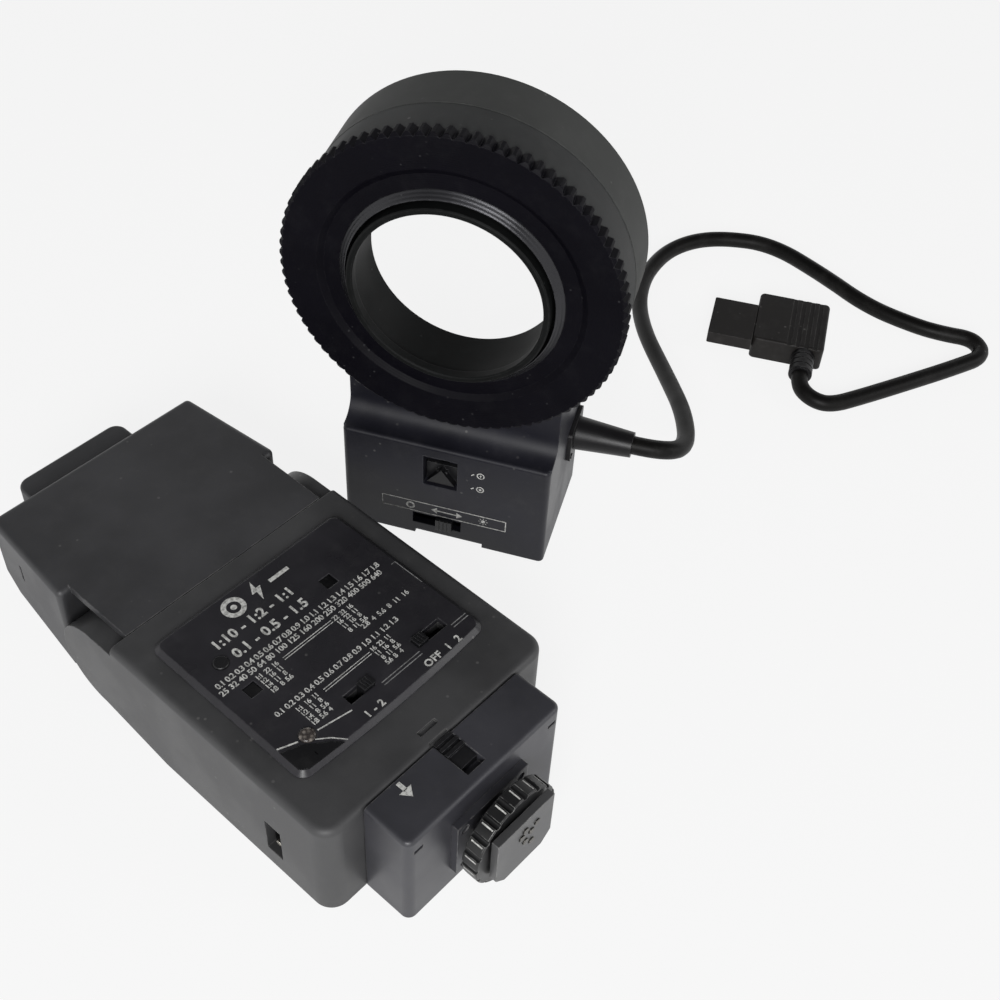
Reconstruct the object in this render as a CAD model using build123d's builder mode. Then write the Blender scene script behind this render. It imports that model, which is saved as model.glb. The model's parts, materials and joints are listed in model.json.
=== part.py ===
# Macro ring flash: a flat power pack with a tilting head and a detachable shoe module, and a ring
# shaped flash head that stands beside it on its own box, joined to a loose plug by a cord.
# Millimetres, +Z up, table at zero. The pack lies flat with its tilting head towards +Y.
# Every length is a named value. Change one of them and run the file again.

import os
from math import atan2, cos, pi, radians, sin, tan

from build123d import *

# Fits
run_gap = 0.05        # running clearance on a radius
slip = 0.1            # sliding clearance on a flat side
seam = 0.3            # seam between neighbouring bodies
seat = 0.15           # room round a piece that drops into a pocket

# Pack body
pack_w = 72.0         # across
pack_h = 33.0         # thickness
pack_end_y = -46.0    # lower end wall
pack_flat_y = 12.0    # underside is level up to here
pack_step_y = 26.7    # top steps down here, under the head's tongue
wall = 2.4
pack_corner_r = 5.0   # upright corners
pack_edge_r = 1.9     # rounding of the top edges
barrel_y = 34.5       # hinge barrel
barrel_z = 17.5
barrel_r = 13.0
barrel_wall = 2.2
lid_inset = 2.5       # shell wall left round the base cover
lid_t = 2.2           # base cover thickness
lid_end_y = 10.0

# Control panel
panel_in = 6.5        # top of the pack left bare on each side
panel_low_y = -32.0
panel_top_y = 20.0
panel_rise = 1.5
panel_slope = 1.3     # width of the sloped edge
panel_corner_r = 3.0
panel_bulge = 1.0     # lower edge bows out by this much
window_w = 3.5
window_sink = 0.3
window_in = (8.3, 42.0)               # from the panel's left edge
window_low = (-6.6, 4.2)
lamp_in, lamp_y, lamp_r = 8.5, -24.5, 2.0
button_in, button_y, button_r = 8.2, 4.1, 1.9
button_rise = 0.4
knob_y = -24.2        # both slide switches
knob_slot_h = 3.0
mode_slot_w, mode_slot_share = 7.6, 0.4186    # its share of the panel's width from the left
power_slot_in, power_slot_w = 11.6, 9.5    # from the panel's right edge
knob_w = 3.2
knob_rise = 0.9       # knob top above the panel
knob_flange = 1.2     # foot of a knob, under the top wall
knob_flange_t = 1.0

# Inside the pack
board_lift, board_t = 2.3, 1.6    # underside above the cells
transformer_gap = 5.6    # off the ring head's socket
cell_side, cell_len = 6.9, 50.0    # room beside the row of cells
cell_gap = 0.2
cell_low_y = -40.2
cell_nub_r, cell_nub_t = 2.7, 1.2
door_edge = 1.4       # cover left round the battery door
door_pin_r = 0.7
door_pin_len = 1.2
door_hinge_in = 6.9
screw_r, screw_head_r, screw_head_t = 0.7, 1.2, 0.9
screw_len = 6.5
screw_in, boss_w = 4.0, 4.4
screw_low_y, screw_high_y = -38.0, 4.0

# Sockets in the side walls
power_jack_y, power_jack_w = -27.8, 5.2
power_jack_z, power_jack_h = 11.75, 11.5
power_jack_depth = 3.6
jack_wall = 1.0
jack_pin_r = 0.8
head_jack_y = 1.0
head_jack_depth = 16.0

# Tilting head
head_gap = 0.6        # head's near face off the barrel
head_far_y = 80.3
head_in = 1.5         # each side of the head's near end, in from the pack's side
head_taper = 3.0      # each side narrows by this towards the far end
head_low_near, head_low_far = 4.0, 10.0
head_chamfer = 6.0    # far lower corner
head_edge_r = 1.6
tongue_in = 5.2
tongue_y = 27.0
tongue_gap = 0.2      # off the top of the barrel
arm_in, arm_w = 12.5, 7.0
arm_eye_r = 7.5
arm_h = 9.0
pin_r = 2.0
pin_boss_r = 4.5
cap_block_w, cap_block_h = 33.5, 15.0
cap_block_z = 25.0    # its top
cap_block_y = 93.7
cap_block_corner = 3.5
capacitor_r, capacitor_in = 9.0, 11.0
head_lid_t = 2.0
slit_y, slit_w = 68.5, 0.9
slit_low, slit_high = 20.0, 25.6

# Shoe module
module_in = 11.0
module_far_y = -59.6
module_gap = 0.15
module_wall = 2.0
module_corner_r = 2.2
module_edge_r = 1.2
slit_in, slit_z, slit_len, slit_h = 3.2, 28.4, 2.8, 1.3    # small slots in the module's end
release_x, release_w = -0.6, 5.6
release_low_y, release_high_y = -54.4, -46.6
release_t = 2.0
release_sink = 0.5
release_travel = 2.2
latch_w, latch_h, latch_z, latch_len = 3.6, 2.2, 27.6, 2.0
bracket_w, bracket_low, bracket_top, bracket_t = 23.2, 6.5, 25.6, 2.0
wheel_z, wheel_r, wheel_y, wheel_t = 17.7, 13.3, -66.5, 4.6
wheel_teeth, wheel_cut = 18, 1.0
stem_r = 5.5
foot_w, foot_len, foot_t = 18.6, 18.0, 2.0
foot_low, foot_face_y = 8.9, -71.3
foot_corner = 3.0
pad_r, pad_rise = 0.9, 0.3
pad_spots = ((0.0, 9.1), (1.9, 11.4), (-0.2, 13.8), (-1.3, 12.0), (2.2, 6.8), (3.7, 13.0))
link_w, link_h, link_z, link_depth = 16.0, 6.0, 11.0, 3.0

# Ring head, in its own frame: across, depth from the rear face, height
head_origin_x, head_origin_y = 64.2, 14.4
head_turn = -63.9     # degrees about +Z
box_w, box_h, box_depth = 57.8, 34.9, 37.0
box_wall = 2.2
box_corner_r = 1.5
box_edge_r = 1.0      # rounding of the upper edges
neck_low, neck_high = 7.5, 31.0
neck_hollow_r = 6.0   # concave rise from the ledge to the neck
ring_z = 86.7
drum_r, drum_split, drum_front = 42.0, 16.0, 31.0
drum_wall = 1.8
knurl_out, knurl_back, knurl_front = 1.3, 1.0, 5.0    # out from the drum
knurl_count, knurl_cut = 88, 1.15
knurl_dish = 0.8      # rear face falls inwards by this much
step_in, step_w, step_depth = 9.0, 1.6, 0.6    # in from the drum, as below
hub_in = 11.5
thread_out_in, thread_in_in = 13.8, 15.8
thread_back, thread_slope = 0.6, 1.8
thread_flange_in, thread_flange_t = 10.0, 1.2
rear_wall_t = 2.0
lip_back, lip_front, lip_in = -1.5, 1.0, 18.3
bore_in, bore_end = 17.3, 15.5
tube_wall = 1.3        # of the lip and the bore
partition_back, partition_t = 9.2, 1.2
diffuser_t = 1.4
diffuser_root_in = 16.3
diffuser_rim = 30.6
flash_r, flash_ring_in, flash_depth = 3.0, 7.4, 16.2
reflector_t = 0.8
reflector_back = 11.2
post_count = 6

# Box details
selector_x, selector_z = -2.0, 6.3
selector_slot_w, selector_slot_h = 14.0, 4.0
selector_w, selector_rise = 4.6, 1.3
selector_travel = 4.6
foot_notch_low, foot_notch_high, foot_notch_h = -8.3, 11.3, 1.7
foot_notch_depth = 1.2
well_x, well_w, well_low, well_h, well_depth = -1.2, 9.6, 20.4, 10.8, 4.0
slider_w, slider_h = 9.2, 6.2
slider_travel = 4.0
slider_sink = 0.6
slider_plate, slider_border = 1.2, 0.7
well_floor, stem_w = 1.6, 3.0
point_w, point_h, point_z, point_t = 24.0, 15.0, 19.0, 1.6
point_tube_r = 1.9
point_depth = 9.0
cover_t = 2.0
gland_depth, gland_z, gland_w, gland_h, gland_t = 27.6, 25.0, 14.0, 10.5, 1.2
gland_screw_depth, gland_screw_drop = 22.1, 3.6
relief_r, relief_end_r, relief_len = 4.8, 3.6, 15.9
relief_depth = 28.0
relief_rings, relief_ring_w, relief_cut = 4, 1.3, 1.2

# Plug, in its own frame: from the nose along the body, across, height
plug_x, plug_y, plug_turn = 190.4, 13.7, -62.4
nose_len, nose_w, nose_h = 14.2, 18.4, 4.1
plug_low_side, plug_high_side, plug_len, plug_h = -7.7, 16.5, 37.2, 8.0
plug_corner_r = 1.6
plug_rib_w, plug_ribs, plug_rib_cut = 1.4, 4, 0.45
boot_x, boot_z, boot_len = 31.2, 4.0, 9.3
boot_r, boot_cut = 3.7, 0.4
boot_rings, boot_ring_share = 4, 0.75    # rings, and their share of the pitch
socket_wall = 1.2
plug_pin_r, plug_pin_len, plug_pin_pitch = 0.7, 8.0, 3.6

# Cord
cord_d = 5.2
relief_lead, boot_lead = 9.2, 4.8    # straight ends before the first and the last bend
cord_points = (
    (124.4, -23.4, 20.0), (137.9, -12.7, 16.5), (152.0, 2.2, 10.0), (173.0, 29.5, 4.9),
    (191.2, 43.5, 2.6), (208.7, 48.5, 2.6), (222.4, 46.6, 2.6), (233.1, 39.2, 2.6),
    (242.5, 24.5, 2.6), (240.6, 1.9, 2.6), (236.9, -18.2, 2.6), (239.6, -35.6, 2.6),
    (242.9, -44.4, 2.6), (246.9, -51.6, 2.6), (244.6, -56.9, 2.6), (239.6, -58.4, 2.6),
    (233.2, -56.0, 2.6), (225.5, -53.0, 2.6), (210.6, -46.7, 2.6), (197.5, -41.0, 2.6),
    (186.3, -35.9, 2.8), (183.7, -30.2, 3.4),
)
bend_share = 0.45     # of the shorter run, given to each bend

# Frames
PACK = Plane.XY
HEAD = Plane((head_origin_x, head_origin_y, 0),
             x_dir=(cos(radians(head_turn)), sin(radians(head_turn)), 0), z_dir=(0, 0, 1))
PLUG = Plane((plug_x, plug_y, 0),
             x_dir=(cos(radians(plug_turn)), sin(radians(plug_turn)), 0), z_dir=(0, 0, 1))

# Derived sizes
knurl_r = drum_r + knurl_out
step_r, hub_r = drum_r - step_in, drum_r - hub_in
thread_out_r, thread_in_r = drum_r - thread_out_in, drum_r - thread_in_in
thread_flange_r = drum_r - thread_flange_in
lip_r, bore_r = drum_r - lip_in, drum_r - bore_in
diffuser_root_r = drum_r - diffuser_root_in
diffuser_rim_r = drum_r - drum_wall - slip
flash_ring_r = drum_r - flash_ring_in
half_w = pack_w / 2
panel_w = pack_w - 2 * panel_in
panel_left, panel_right = -panel_w / 2, panel_w / 2
window_spots = [(panel_left + i, y) for i, y in zip(window_in, window_low)]
lamp_x = panel_left + lamp_in
button_x = panel_left + button_in
mode_slot_x = panel_left + panel_w * mode_slot_share
power_slot_x = panel_right - power_slot_in
cell_r = (half_w - cell_side - 3 * cell_gap / 2) / 4
door_hinge_x = half_w - door_hinge_in
screw_x = half_w - screw_in
head_w = pack_w - 2 * head_in
tongue_w = pack_w - 2 * tongue_in
arm_x = half_w - arm_in
capacitor_len = pack_w - 2 * capacitor_in
module_w = pack_w - 2 * module_in
inner_w = half_w - lid_inset
panel_top = pack_h + panel_rise
ceiling = pack_h - wall
board_z = lid_t + slip + 2 * cell_r + board_lift
head_jack_z = (board_z + board_t + ceiling) / 2
head_near_y = barrel_y + barrel_r + head_gap
foot_inner_y = foot_face_y + foot_t
knob_low = ceiling - slip - knob_flange_t
mode_rest_x = mode_slot_x + (mode_slot_w - knob_w) / 2 - slip
power_rest_x = power_slot_x - (power_slot_w - knob_w) / 2 + slip
thread_front = knurl_front + rear_wall_t + run_gap
selector_rest_x = selector_x + selector_travel / 2
slider_rest_z = well_low + slip + slider_h / 2
relief_root_x = box_w / 2 + gland_t
plug_nose_z = plug_h - nose_h / 2


def block(frame, spans, mode=Mode.ADD, corner=0):
    """Add or cut a box given by its spans (x, y and z) in a frame."""
    (x0, x1), (y0, y1), (z0, z1) = spans
    with BuildSketch(frame.offset(z0)) as plan:
        with Locations(((x0 + x1) / 2, (y0 + y1) / 2)):
            if corner:
                RectangleRounded(x1 - x0, y1 - y0, corner)
            else:
                Rectangle(x1 - x0, y1 - y0)
    extrude(plan.sketch, amount=z1 - z0, mode=mode)


def rod(frame, start, end, radius, mode=Mode.ADD, end_radius=0):
    """Add or cut a round bar, or a cone, between two points of a frame."""
    a, b = frame.from_local_coords(Vector(*start)), frame.from_local_coords(Vector(*end))
    step = b - a
    with BuildSketch(Plane(a, z_dir=step)) as near:
        Circle(radius)
    if end_radius:
        with BuildSketch(Plane(b, z_dir=step)) as far:
            Circle(end_radius)
        loft([near.sketch, far.sketch], mode=mode)
    else:
        extrude(near.sketch, amount=step.length, mode=mode)


def side_shape(points, mode=Mode.ADD, low_x=-half_w, high_x=half_w):
    """Extrude an outline drawn in Y and Z across the pack."""
    with BuildSketch(Plane.YZ.offset(low_x)) as outline:
        with BuildLine():
            Polyline(*points, close=True)
        make_face()
    extrude(outline.sketch, amount=high_x - low_x, mode=mode)


def head_side(across=0):
    """Plane through the ring head's depth: x depth, y up."""
    origin = HEAD.from_local_coords(Vector(across, 0, 0))
    return Plane(origin, x_dir=HEAD.y_dir, z_dir=HEAD.x_dir)


ring_axis = Axis(HEAD.from_local_coords(Vector(0, 0, ring_z)), HEAD.y_dir)


def turned(points, mode=Mode.ADD):
    """Turn an outline of (depth, radius) points round the ring's axis."""
    with BuildSketch(head_side()) as outline:
        with BuildLine():
            Polyline(*[(s, ring_z + r) for s, r in points], close=True)
        make_face()
    revolve(outline.sketch, axis=ring_axis, mode=mode)


def finish(part, name):
    """Name a piece and write it."""
    part.part.label = name
    export_step(part.part, "parts/" + name + ".step")


os.makedirs("parts", exist_ok=True)

# Pack body shell: top, walls and hinge barrel in one moulding, open underneath
with BuildPart() as body_shell:
    with BuildSketch(Plane.YZ.offset(-half_w)):
        with BuildLine():
            Polyline((barrel_y, barrel_z - barrel_r), (pack_flat_y, 0), (pack_end_y, 0),
                     (pack_end_y, pack_h), (pack_step_y, pack_h),
                     (pack_step_y, barrel_z + barrel_r), (barrel_y, barrel_z + barrel_r))
            ThreePointArc((barrel_y, barrel_z + barrel_r), (barrel_y + barrel_r, barrel_z),
                          (barrel_y, barrel_z - barrel_r))
        make_face()
    extrude(amount=pack_w)
    uprights = body_shell.edges().filter_by(Axis.Z).group_by(Axis.Y)[0]
    fillet(uprights, radius=pack_corner_r)
    rim = body_shell.edges().filter_by_position(Axis.Z, pack_h - slip, pack_h + slip)
    fillet(rim.filter_by(lambda e: e.center().Y < pack_step_y - slip), radius=pack_edge_r)
    side_shape(((pack_end_y + lid_inset, -wall), (pack_end_y + lid_inset, ceiling),
                (pack_step_y - barrel_wall, ceiling),
                (pack_step_y - barrel_wall, barrel_z + barrel_r - barrel_wall),
                (barrel_y, barrel_z + barrel_r - barrel_wall),
                (barrel_y, barrel_z - barrel_r + barrel_wall), (lid_end_y, lid_t),
                (lid_end_y, -wall)), Mode.SUBTRACT, -inner_w, inner_w)
    rod(PACK, (-inner_w, barrel_y, barrel_z), (inner_w, barrel_y, barrel_z),
        barrel_r - barrel_wall, Mode.SUBTRACT)
    for side in (-1, 1):
        # Screw bosses beside the batteries
        for y in (screw_low_y, screw_high_y):
            spans = sorted((side * inner_w, side * (screw_x - boss_w / 2)))
            block(PACK, (spans, (y - boss_w / 2, y + boss_w / 2), (lid_t, board_z - slip)))
            rod(PACK, (side * screw_x, y, 0), (side * screw_x, y, screw_len + wall),
                screw_r, Mode.SUBTRACT)
        # Bosses that hold the pivot pins
        rod(PACK, (side * (half_w - lid_inset), barrel_y, barrel_z),
            (side * (arm_x + arm_w / 2 + seam), barrel_y, barrel_z), pin_boss_r)
        rod(PACK, (side * (half_w - wall / 2), barrel_y, barrel_z),
            (0, barrel_y, barrel_z), pin_r, Mode.SUBTRACT)
        # Slots that the hinge arms swing in
        low, high = arm_x - arm_w / 2 - seam, arm_x + arm_w / 2 + seam
        with BuildSketch(Plane.YZ.offset(min(side * low, side * high))):
            with BuildLine():
                reach = barrel_r + wall
                rise = arm_h / 2 + seam
                Polyline((barrel_y, barrel_z + rise), (barrel_y + reach, barrel_z + rise),
                         (barrel_y + reach, barrel_z - reach), (barrel_y - rise, barrel_z - reach),
                         (barrel_y - rise, barrel_z), close=True)
            make_face()
        extrude(amount=high - low, mode=Mode.SUBTRACT)
    # Openings through the top wall
    top_cut = (ceiling - wall, pack_h + wall)
    rod(PACK, (lamp_x, lamp_y, top_cut[0]), (lamp_x, lamp_y, top_cut[1]),
        lamp_r + run_gap, Mode.SUBTRACT)
    rod(PACK, (button_x, button_y, top_cut[0]), (button_x, button_y, top_cut[1]),
        button_r + run_gap, Mode.SUBTRACT)
    for x, w in ((mode_slot_x, mode_slot_w), (power_slot_x, power_slot_w)):
        block(PACK, ((x - w / 2, x + w / 2), (knob_y - knob_slot_h / 2, knob_y + knob_slot_h / 2),
                     top_cut), Mode.SUBTRACT)
    # Release notch, latch pocket and module contacts in the end wall
    block(PACK, ((release_x - release_w / 2, release_x + release_w / 2),
                 (pack_end_y - wall, pack_end_y + panel_slope), (pack_h - release_sink,
                 pack_h + wall)), Mode.SUBTRACT)
    block(PACK, ((release_x - latch_w / 2 - seam, release_x + latch_w / 2 + seam),
                 (pack_end_y - wall, pack_end_y + wall + wall),
                 (latch_z - latch_h / 2 - seam, latch_z + latch_h / 2 + seam)), Mode.SUBTRACT)
    block(PACK, ((-link_w / 2 - seat, link_w / 2 + seat), (pack_end_y - wall,
                 pack_end_y + wall + wall), (link_z - link_h / 2 - seat,
                 link_z + link_h / 2 + seat)), Mode.SUBTRACT)
    block(PACK, ((release_x - release_w / 2, release_x + release_w / 2),
                 (pack_end_y + wall + panel_slope, pack_end_y + wall + 2 * panel_slope),
                 (pack_h - panel_slope / 2, pack_h + wall)), Mode.SUBTRACT)
    # Socket openings in the side walls
    block(PACK, ((-half_w - wall, -inner_w + wall),
                 (power_jack_y - power_jack_w / 2, power_jack_y + power_jack_w / 2),
                 (power_jack_z - power_jack_h / 2, power_jack_z + power_jack_h / 2)),
          Mode.SUBTRACT)
    block(PACK, ((inner_w - wall, half_w + wall),
                 (head_jack_y - nose_w / 2 - seam, head_jack_y + nose_w / 2 + seam),
                 (head_jack_z - nose_h / 2 - seam, head_jack_z + nose_h / 2 + seam)),
          Mode.SUBTRACT)
finish(body_shell, "body_shell")

# Base cover: a frame round the battery door, let into the underside
door_low_y, door_high_y = cell_low_y - cell_nub_t - slip, lid_end_y - door_edge - slip
door_low_x = -door_hinge_x - seat
hinge_z = lid_t / 2
with BuildPart() as base_cover:
    block(PACK, ((-inner_w + slip, inner_w - slip), (pack_end_y + lid_inset + slip,
                 lid_end_y - slip), (0, lid_t)))
    block(PACK, ((door_low_x - slip, door_hinge_x + hinge_z + slip),
                 (door_low_y - slip, door_high_y + slip), (-wall, lid_t + wall)), Mode.SUBTRACT)
    rod(PACK, (door_hinge_x, door_low_y - door_pin_len - slip, hinge_z),
        (door_hinge_x, door_high_y + door_pin_len + slip, hinge_z), door_pin_r + run_gap,
        Mode.SUBTRACT)
    for side in (-1, 1):
        for y in (screw_low_y, screw_high_y):
            rod(PACK, (side * screw_x, y, -wall), (side * screw_x, y, lid_t + wall),
                screw_r + run_gap, Mode.SUBTRACT)
            rod(PACK, (side * screw_x, y, -wall), (side * screw_x, y, screw_head_t + slip),
                screw_head_r + run_gap, Mode.SUBTRACT)
finish(base_cover, "base_cover")

# Battery door: hinged along its long side, swings down
with BuildPart() as battery_door:
    block(PACK, ((door_low_x, door_hinge_x), (door_low_y, door_high_y), (0, lid_t)))
    rod(PACK, (door_hinge_x, door_low_y, hinge_z), (door_hinge_x, door_high_y, hinge_z), hinge_z)
    rod(PACK, (door_hinge_x, door_low_y - door_pin_len, hinge_z),
        (door_hinge_x, door_high_y + door_pin_len, hinge_z), door_pin_r)
    grip_x = door_low_x + wall
    for step in range(4):
        x = grip_x + step * 2 * slit_w
        block(PACK, ((x, x + slit_w), (door_low_y / 2 - wall, -door_low_y / 4),
                     (-slip, slit_w / 2)), Mode.SUBTRACT)
finish(battery_door, "battery_door")

with BuildPart() as cover_screws:
    for side in (-1, 1):
        for y in (screw_low_y, screw_high_y):
            rod(PACK, (side * screw_x, y, slip), (side * screw_x, y, screw_head_t), screw_head_r)
            rod(PACK, (side * screw_x, y, screw_head_t), (side * screw_x, y, screw_len), screw_r)
            block(PACK, ((side * screw_x - screw_head_r, side * screw_x + screw_head_r),
                         (y - seam / 2, y + seam / 2), (0, screw_head_t / 2)), Mode.SUBTRACT)
finish(cover_screws, "cover_screws")

# Control panel: a raised plate with sloped edges on the pack's top
with BuildPart() as control_panel:
    with BuildSketch(PACK.offset(pack_h)):
        with BuildLine():
            left, right = -panel_w / 2, panel_w / 2
            Line((left, panel_low_y), (left, panel_top_y))
            Line((left, panel_top_y), (right, panel_top_y))
            Line((right, panel_top_y), (right, panel_low_y))
            ThreePointArc((right, panel_low_y), (0, panel_low_y - panel_bulge),
                          (left, panel_low_y))
        make_face()
    extrude(amount=panel_rise)
    fillet(control_panel.edges().filter_by(Axis.Z), radius=panel_corner_r)
    chamfer(control_panel.faces().sort_by(Axis.Z)[-1].edges(), length=panel_rise - seam,
            length2=panel_slope)
    deep = (pack_h - slip, panel_top + wall)
    for x, y in window_spots:
        block(PACK, ((x - window_w / 2, x + window_w / 2), (y - window_w / 2, y + window_w / 2),
                     deep), Mode.SUBTRACT)
    for x, w in ((mode_slot_x, mode_slot_w), (power_slot_x, power_slot_w)):
        block(PACK, ((x - w / 2, x + w / 2),
                     (knob_y - knob_slot_h / 2, knob_y + knob_slot_h / 2), deep), Mode.SUBTRACT)
    for x, y, r in ((lamp_x, lamp_y, lamp_r), (button_x, button_y, button_r)):
        rod(PACK, (x, y, deep[0]), (x, y, deep[1]), r + run_gap, Mode.SUBTRACT)
finish(control_panel, "control_panel")

with BuildPart() as panel_windows:
    for x, y in window_spots:
        side = window_w / 2 - run_gap
        block(PACK, ((x - side, x + side), (y - side, y + side),
                     (pack_h, panel_top - window_sink)))
finish(panel_windows, "panel_windows")

with BuildPart() as ready_lamp:
    rod(PACK, (lamp_x, lamp_y, ceiling - wall / 2), (lamp_x, lamp_y, panel_top + lamp_r / 4), lamp_r)
    fillet(ready_lamp.edges().sort_by(Axis.Z)[-1], radius=lamp_r / 3)
    rod(PACK, (lamp_x, lamp_y, ceiling - wall / 2), (lamp_x, lamp_y, ceiling - slip),
        lamp_r + knob_flange_t)
finish(ready_lamp, "ready_lamp")

with BuildPart() as lamp_bulb:
    rod(PACK, (lamp_x, lamp_y, board_z + board_t), (lamp_x, lamp_y, ceiling - wall), lamp_r)
    fillet(lamp_bulb.edges().sort_by(Axis.Z)[-1], radius=lamp_r * 0.8)
finish(lamp_bulb, "lamp_bulb")

with BuildPart() as test_button:
    rod(PACK, (button_x, button_y, ceiling - slip - knob_flange_t),
        (button_x, button_y, panel_top + button_rise), button_r)
    rod(PACK, (button_x, button_y, ceiling - slip - knob_flange_t),
        (button_x, button_y, ceiling - slip), button_r + knob_flange)
    chamfer(test_button.edges().sort_by(Axis.Z)[-1], length=button_rise / 2)
finish(test_button, "test_button")


def slide_knob(x):
    """A knob with a foot under the top wall and three grip grooves on top."""
    y0, y1 = knob_y - knob_slot_h / 2 + slip, knob_y + knob_slot_h / 2 - slip
    block(PACK, ((x - knob_w / 2, x + knob_w / 2), (y0, y1), (knob_low, panel_top + knob_rise)))
    block(PACK, ((x - knob_w / 2, x + knob_w / 2), (y0 - knob_flange, y1 + knob_flange),
                 (knob_low, knob_low + knob_flange_t)))
    for step in (-1, 0, 1):
        groove = x + step * knob_w / 4
        block(PACK, ((groove - slip, groove + slip), (y0 - slip, y1 + slip),
                     (panel_top + knob_rise - seam, panel_top + knob_rise + wall)), Mode.SUBTRACT)


with BuildPart() as mode_knob:
    slide_knob(mode_rest_x)
finish(mode_knob, "mode_knob")

with BuildPart() as power_knob:
    slide_knob(power_rest_x)
finish(power_knob, "power_knob")


def switch_box(x, width):
    """A switch body on the board, under its slot."""
    block(PACK, ((x - width / 2, x + width / 2), (knob_y - knob_slot_h, knob_y + knob_slot_h),
                 (board_z + board_t, knob_low - slip)))


with BuildPart() as mode_switch:
    switch_box(mode_slot_x, mode_slot_w + wall)
finish(mode_switch, "mode_switch")

with BuildPart() as power_switch:
    switch_box(power_slot_x, power_slot_w + wall)
finish(power_switch, "power_switch")

# Electronics and batteries inside the pack
with BuildPart() as main_board:
    block(PACK, ((-inner_w + wall, inner_w - wall), (pack_end_y + 3 * wall, pack_step_y - 2 * wall),
                 (board_z, board_z + board_t)))
    notch_y = power_jack_w / 2 + jack_wall + seam
    block(PACK, ((-inner_w, -inner_w + power_jack_depth + seam),
                 (power_jack_y - notch_y, power_jack_y + notch_y),
                 (board_z - slip, board_z + board_t + slip)), Mode.SUBTRACT)
finish(main_board, "main_board")

with BuildPart() as transformer:
    x1 = inner_w - head_jack_depth - transformer_gap
    block(PACK, ((x1 - 6 * wall, x1), (-4 * wall, wall), (board_z + board_t, ceiling - slip)))
    block(PACK, ((x1 - 5 * wall, x1 - wall), (-5 * wall, 2 * wall),
                 (board_z + board_t + wall, ceiling - slip - wall)))
finish(transformer, "transformer")

cell_pitch = 2 * cell_r + cell_gap
with BuildPart() as battery_cells:
    for i in range(4):
        x = (i - 1.5) * cell_pitch
        z = lid_t + slip + cell_r
        y = cell_low_y
        flip = i % 2
        rod(PACK, (x, y, z), (x, y + cell_len - cell_nub_t, z), cell_r)
        nub = y + cell_len - cell_nub_t if flip else y
        rod(PACK, (x, nub, z), (x, nub + (cell_nub_t if flip else -cell_nub_t), z), cell_nub_r)
finish(battery_cells, "battery_cells")

with BuildPart() as battery_contacts:
    for i in range(4):
        x = (i - 1.5) * cell_pitch
        z = lid_t + slip + cell_r
        flip = i % 2
        high = cell_low_y + cell_len - (0 if flip else cell_nub_t)
        low = cell_low_y - (0 if flip else cell_nub_t)
        block(PACK, ((x - cell_r / 2, x + cell_r / 2), (high, high + seam),
                     (lid_t + wall, lid_t + 5 * wall)))
        block(PACK, ((x - cell_r / 2, x + cell_r / 2), (low - seam, low),
                     (lid_t + wall, lid_t + 5 * wall)))
finish(battery_contacts, "battery_contacts")

with BuildPart() as pivot_pins:
    for side in (-1, 1):
        rod(PACK, (side * (half_w - wall / 2), barrel_y, barrel_z),
            (side * (arm_x - arm_w / 2 - seam), barrel_y, barrel_z), pin_r)
finish(pivot_pins, "pivot_pins")

# Socket for mains or booster power, left wall
with BuildPart() as socket_housing:
    outer_y = power_jack_w / 2 + jack_wall
    outer_z = power_jack_h / 2 + jack_wall
    block(PACK, ((-inner_w, -inner_w + power_jack_depth),
                 (power_jack_y - outer_y, power_jack_y + outer_y),
                 (power_jack_z - outer_z, power_jack_z + outer_z)))
    block(PACK, ((-inner_w - wall, -inner_w + power_jack_depth - jack_wall),
                 (power_jack_y - power_jack_w / 2, power_jack_y + power_jack_w / 2),
                 (power_jack_z - power_jack_h / 2, power_jack_z + power_jack_h / 2)),
          Mode.SUBTRACT)
    for z in (-1, 1):
        rod(PACK, (-inner_w, power_jack_y, power_jack_z + z * power_jack_h / 4),
            (-inner_w + power_jack_depth + wall, power_jack_y, power_jack_z + z * power_jack_h / 4),
            jack_pin_r, Mode.SUBTRACT)
finish(socket_housing, "socket_housing")

# Socket for the ring head's plug, right wall, above the board
with BuildPart() as head_socket:
    y_out, z_out = nose_w / 2 + socket_wall, nose_h / 2 + jack_wall / 2
    block(PACK, ((inner_w - head_jack_depth, inner_w), (head_jack_y - y_out, head_jack_y + y_out),
                 (head_jack_z - z_out, head_jack_z + z_out)))
    block(PACK, ((inner_w - head_jack_depth + jack_wall, inner_w + wall),
                 (head_jack_y - nose_w / 2 - slip, head_jack_y + nose_w / 2 + slip),
                 (head_jack_z - nose_h / 2 - slip, head_jack_z + nose_h / 2 + slip)),
          Mode.SUBTRACT)
finish(head_socket, "head_socket")

with BuildPart() as socket_pins:
    for z in (-1, 1):
        height = power_jack_z + z * power_jack_h / 4
        rod(PACK, (-half_w + wall / 2, power_jack_y, height),
            (-inner_w + power_jack_depth, power_jack_y, height), jack_pin_r)
finish(socket_pins, "socket_pins")

with BuildPart() as pack_connector:
    block(PACK, ((-link_w / 2, link_w / 2), (pack_end_y, pack_end_y + wall + jack_wall),
                 (link_z - link_h / 2, link_z + link_h / 2)))
    for i in range(4):
        x = (i - 1.5) * link_w / 4
        rod(PACK, (x, pack_end_y - wall, link_z), (x, pack_end_y + wall, link_z),
            jack_pin_r + seam, Mode.SUBTRACT)
finish(pack_connector, "pack_connector")

# Tilting head: shell with the tongue over the barrel, hinge arms, cover and end block
near_half = head_w / 2
tongue_low = barrel_z + barrel_r + tongue_gap


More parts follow.
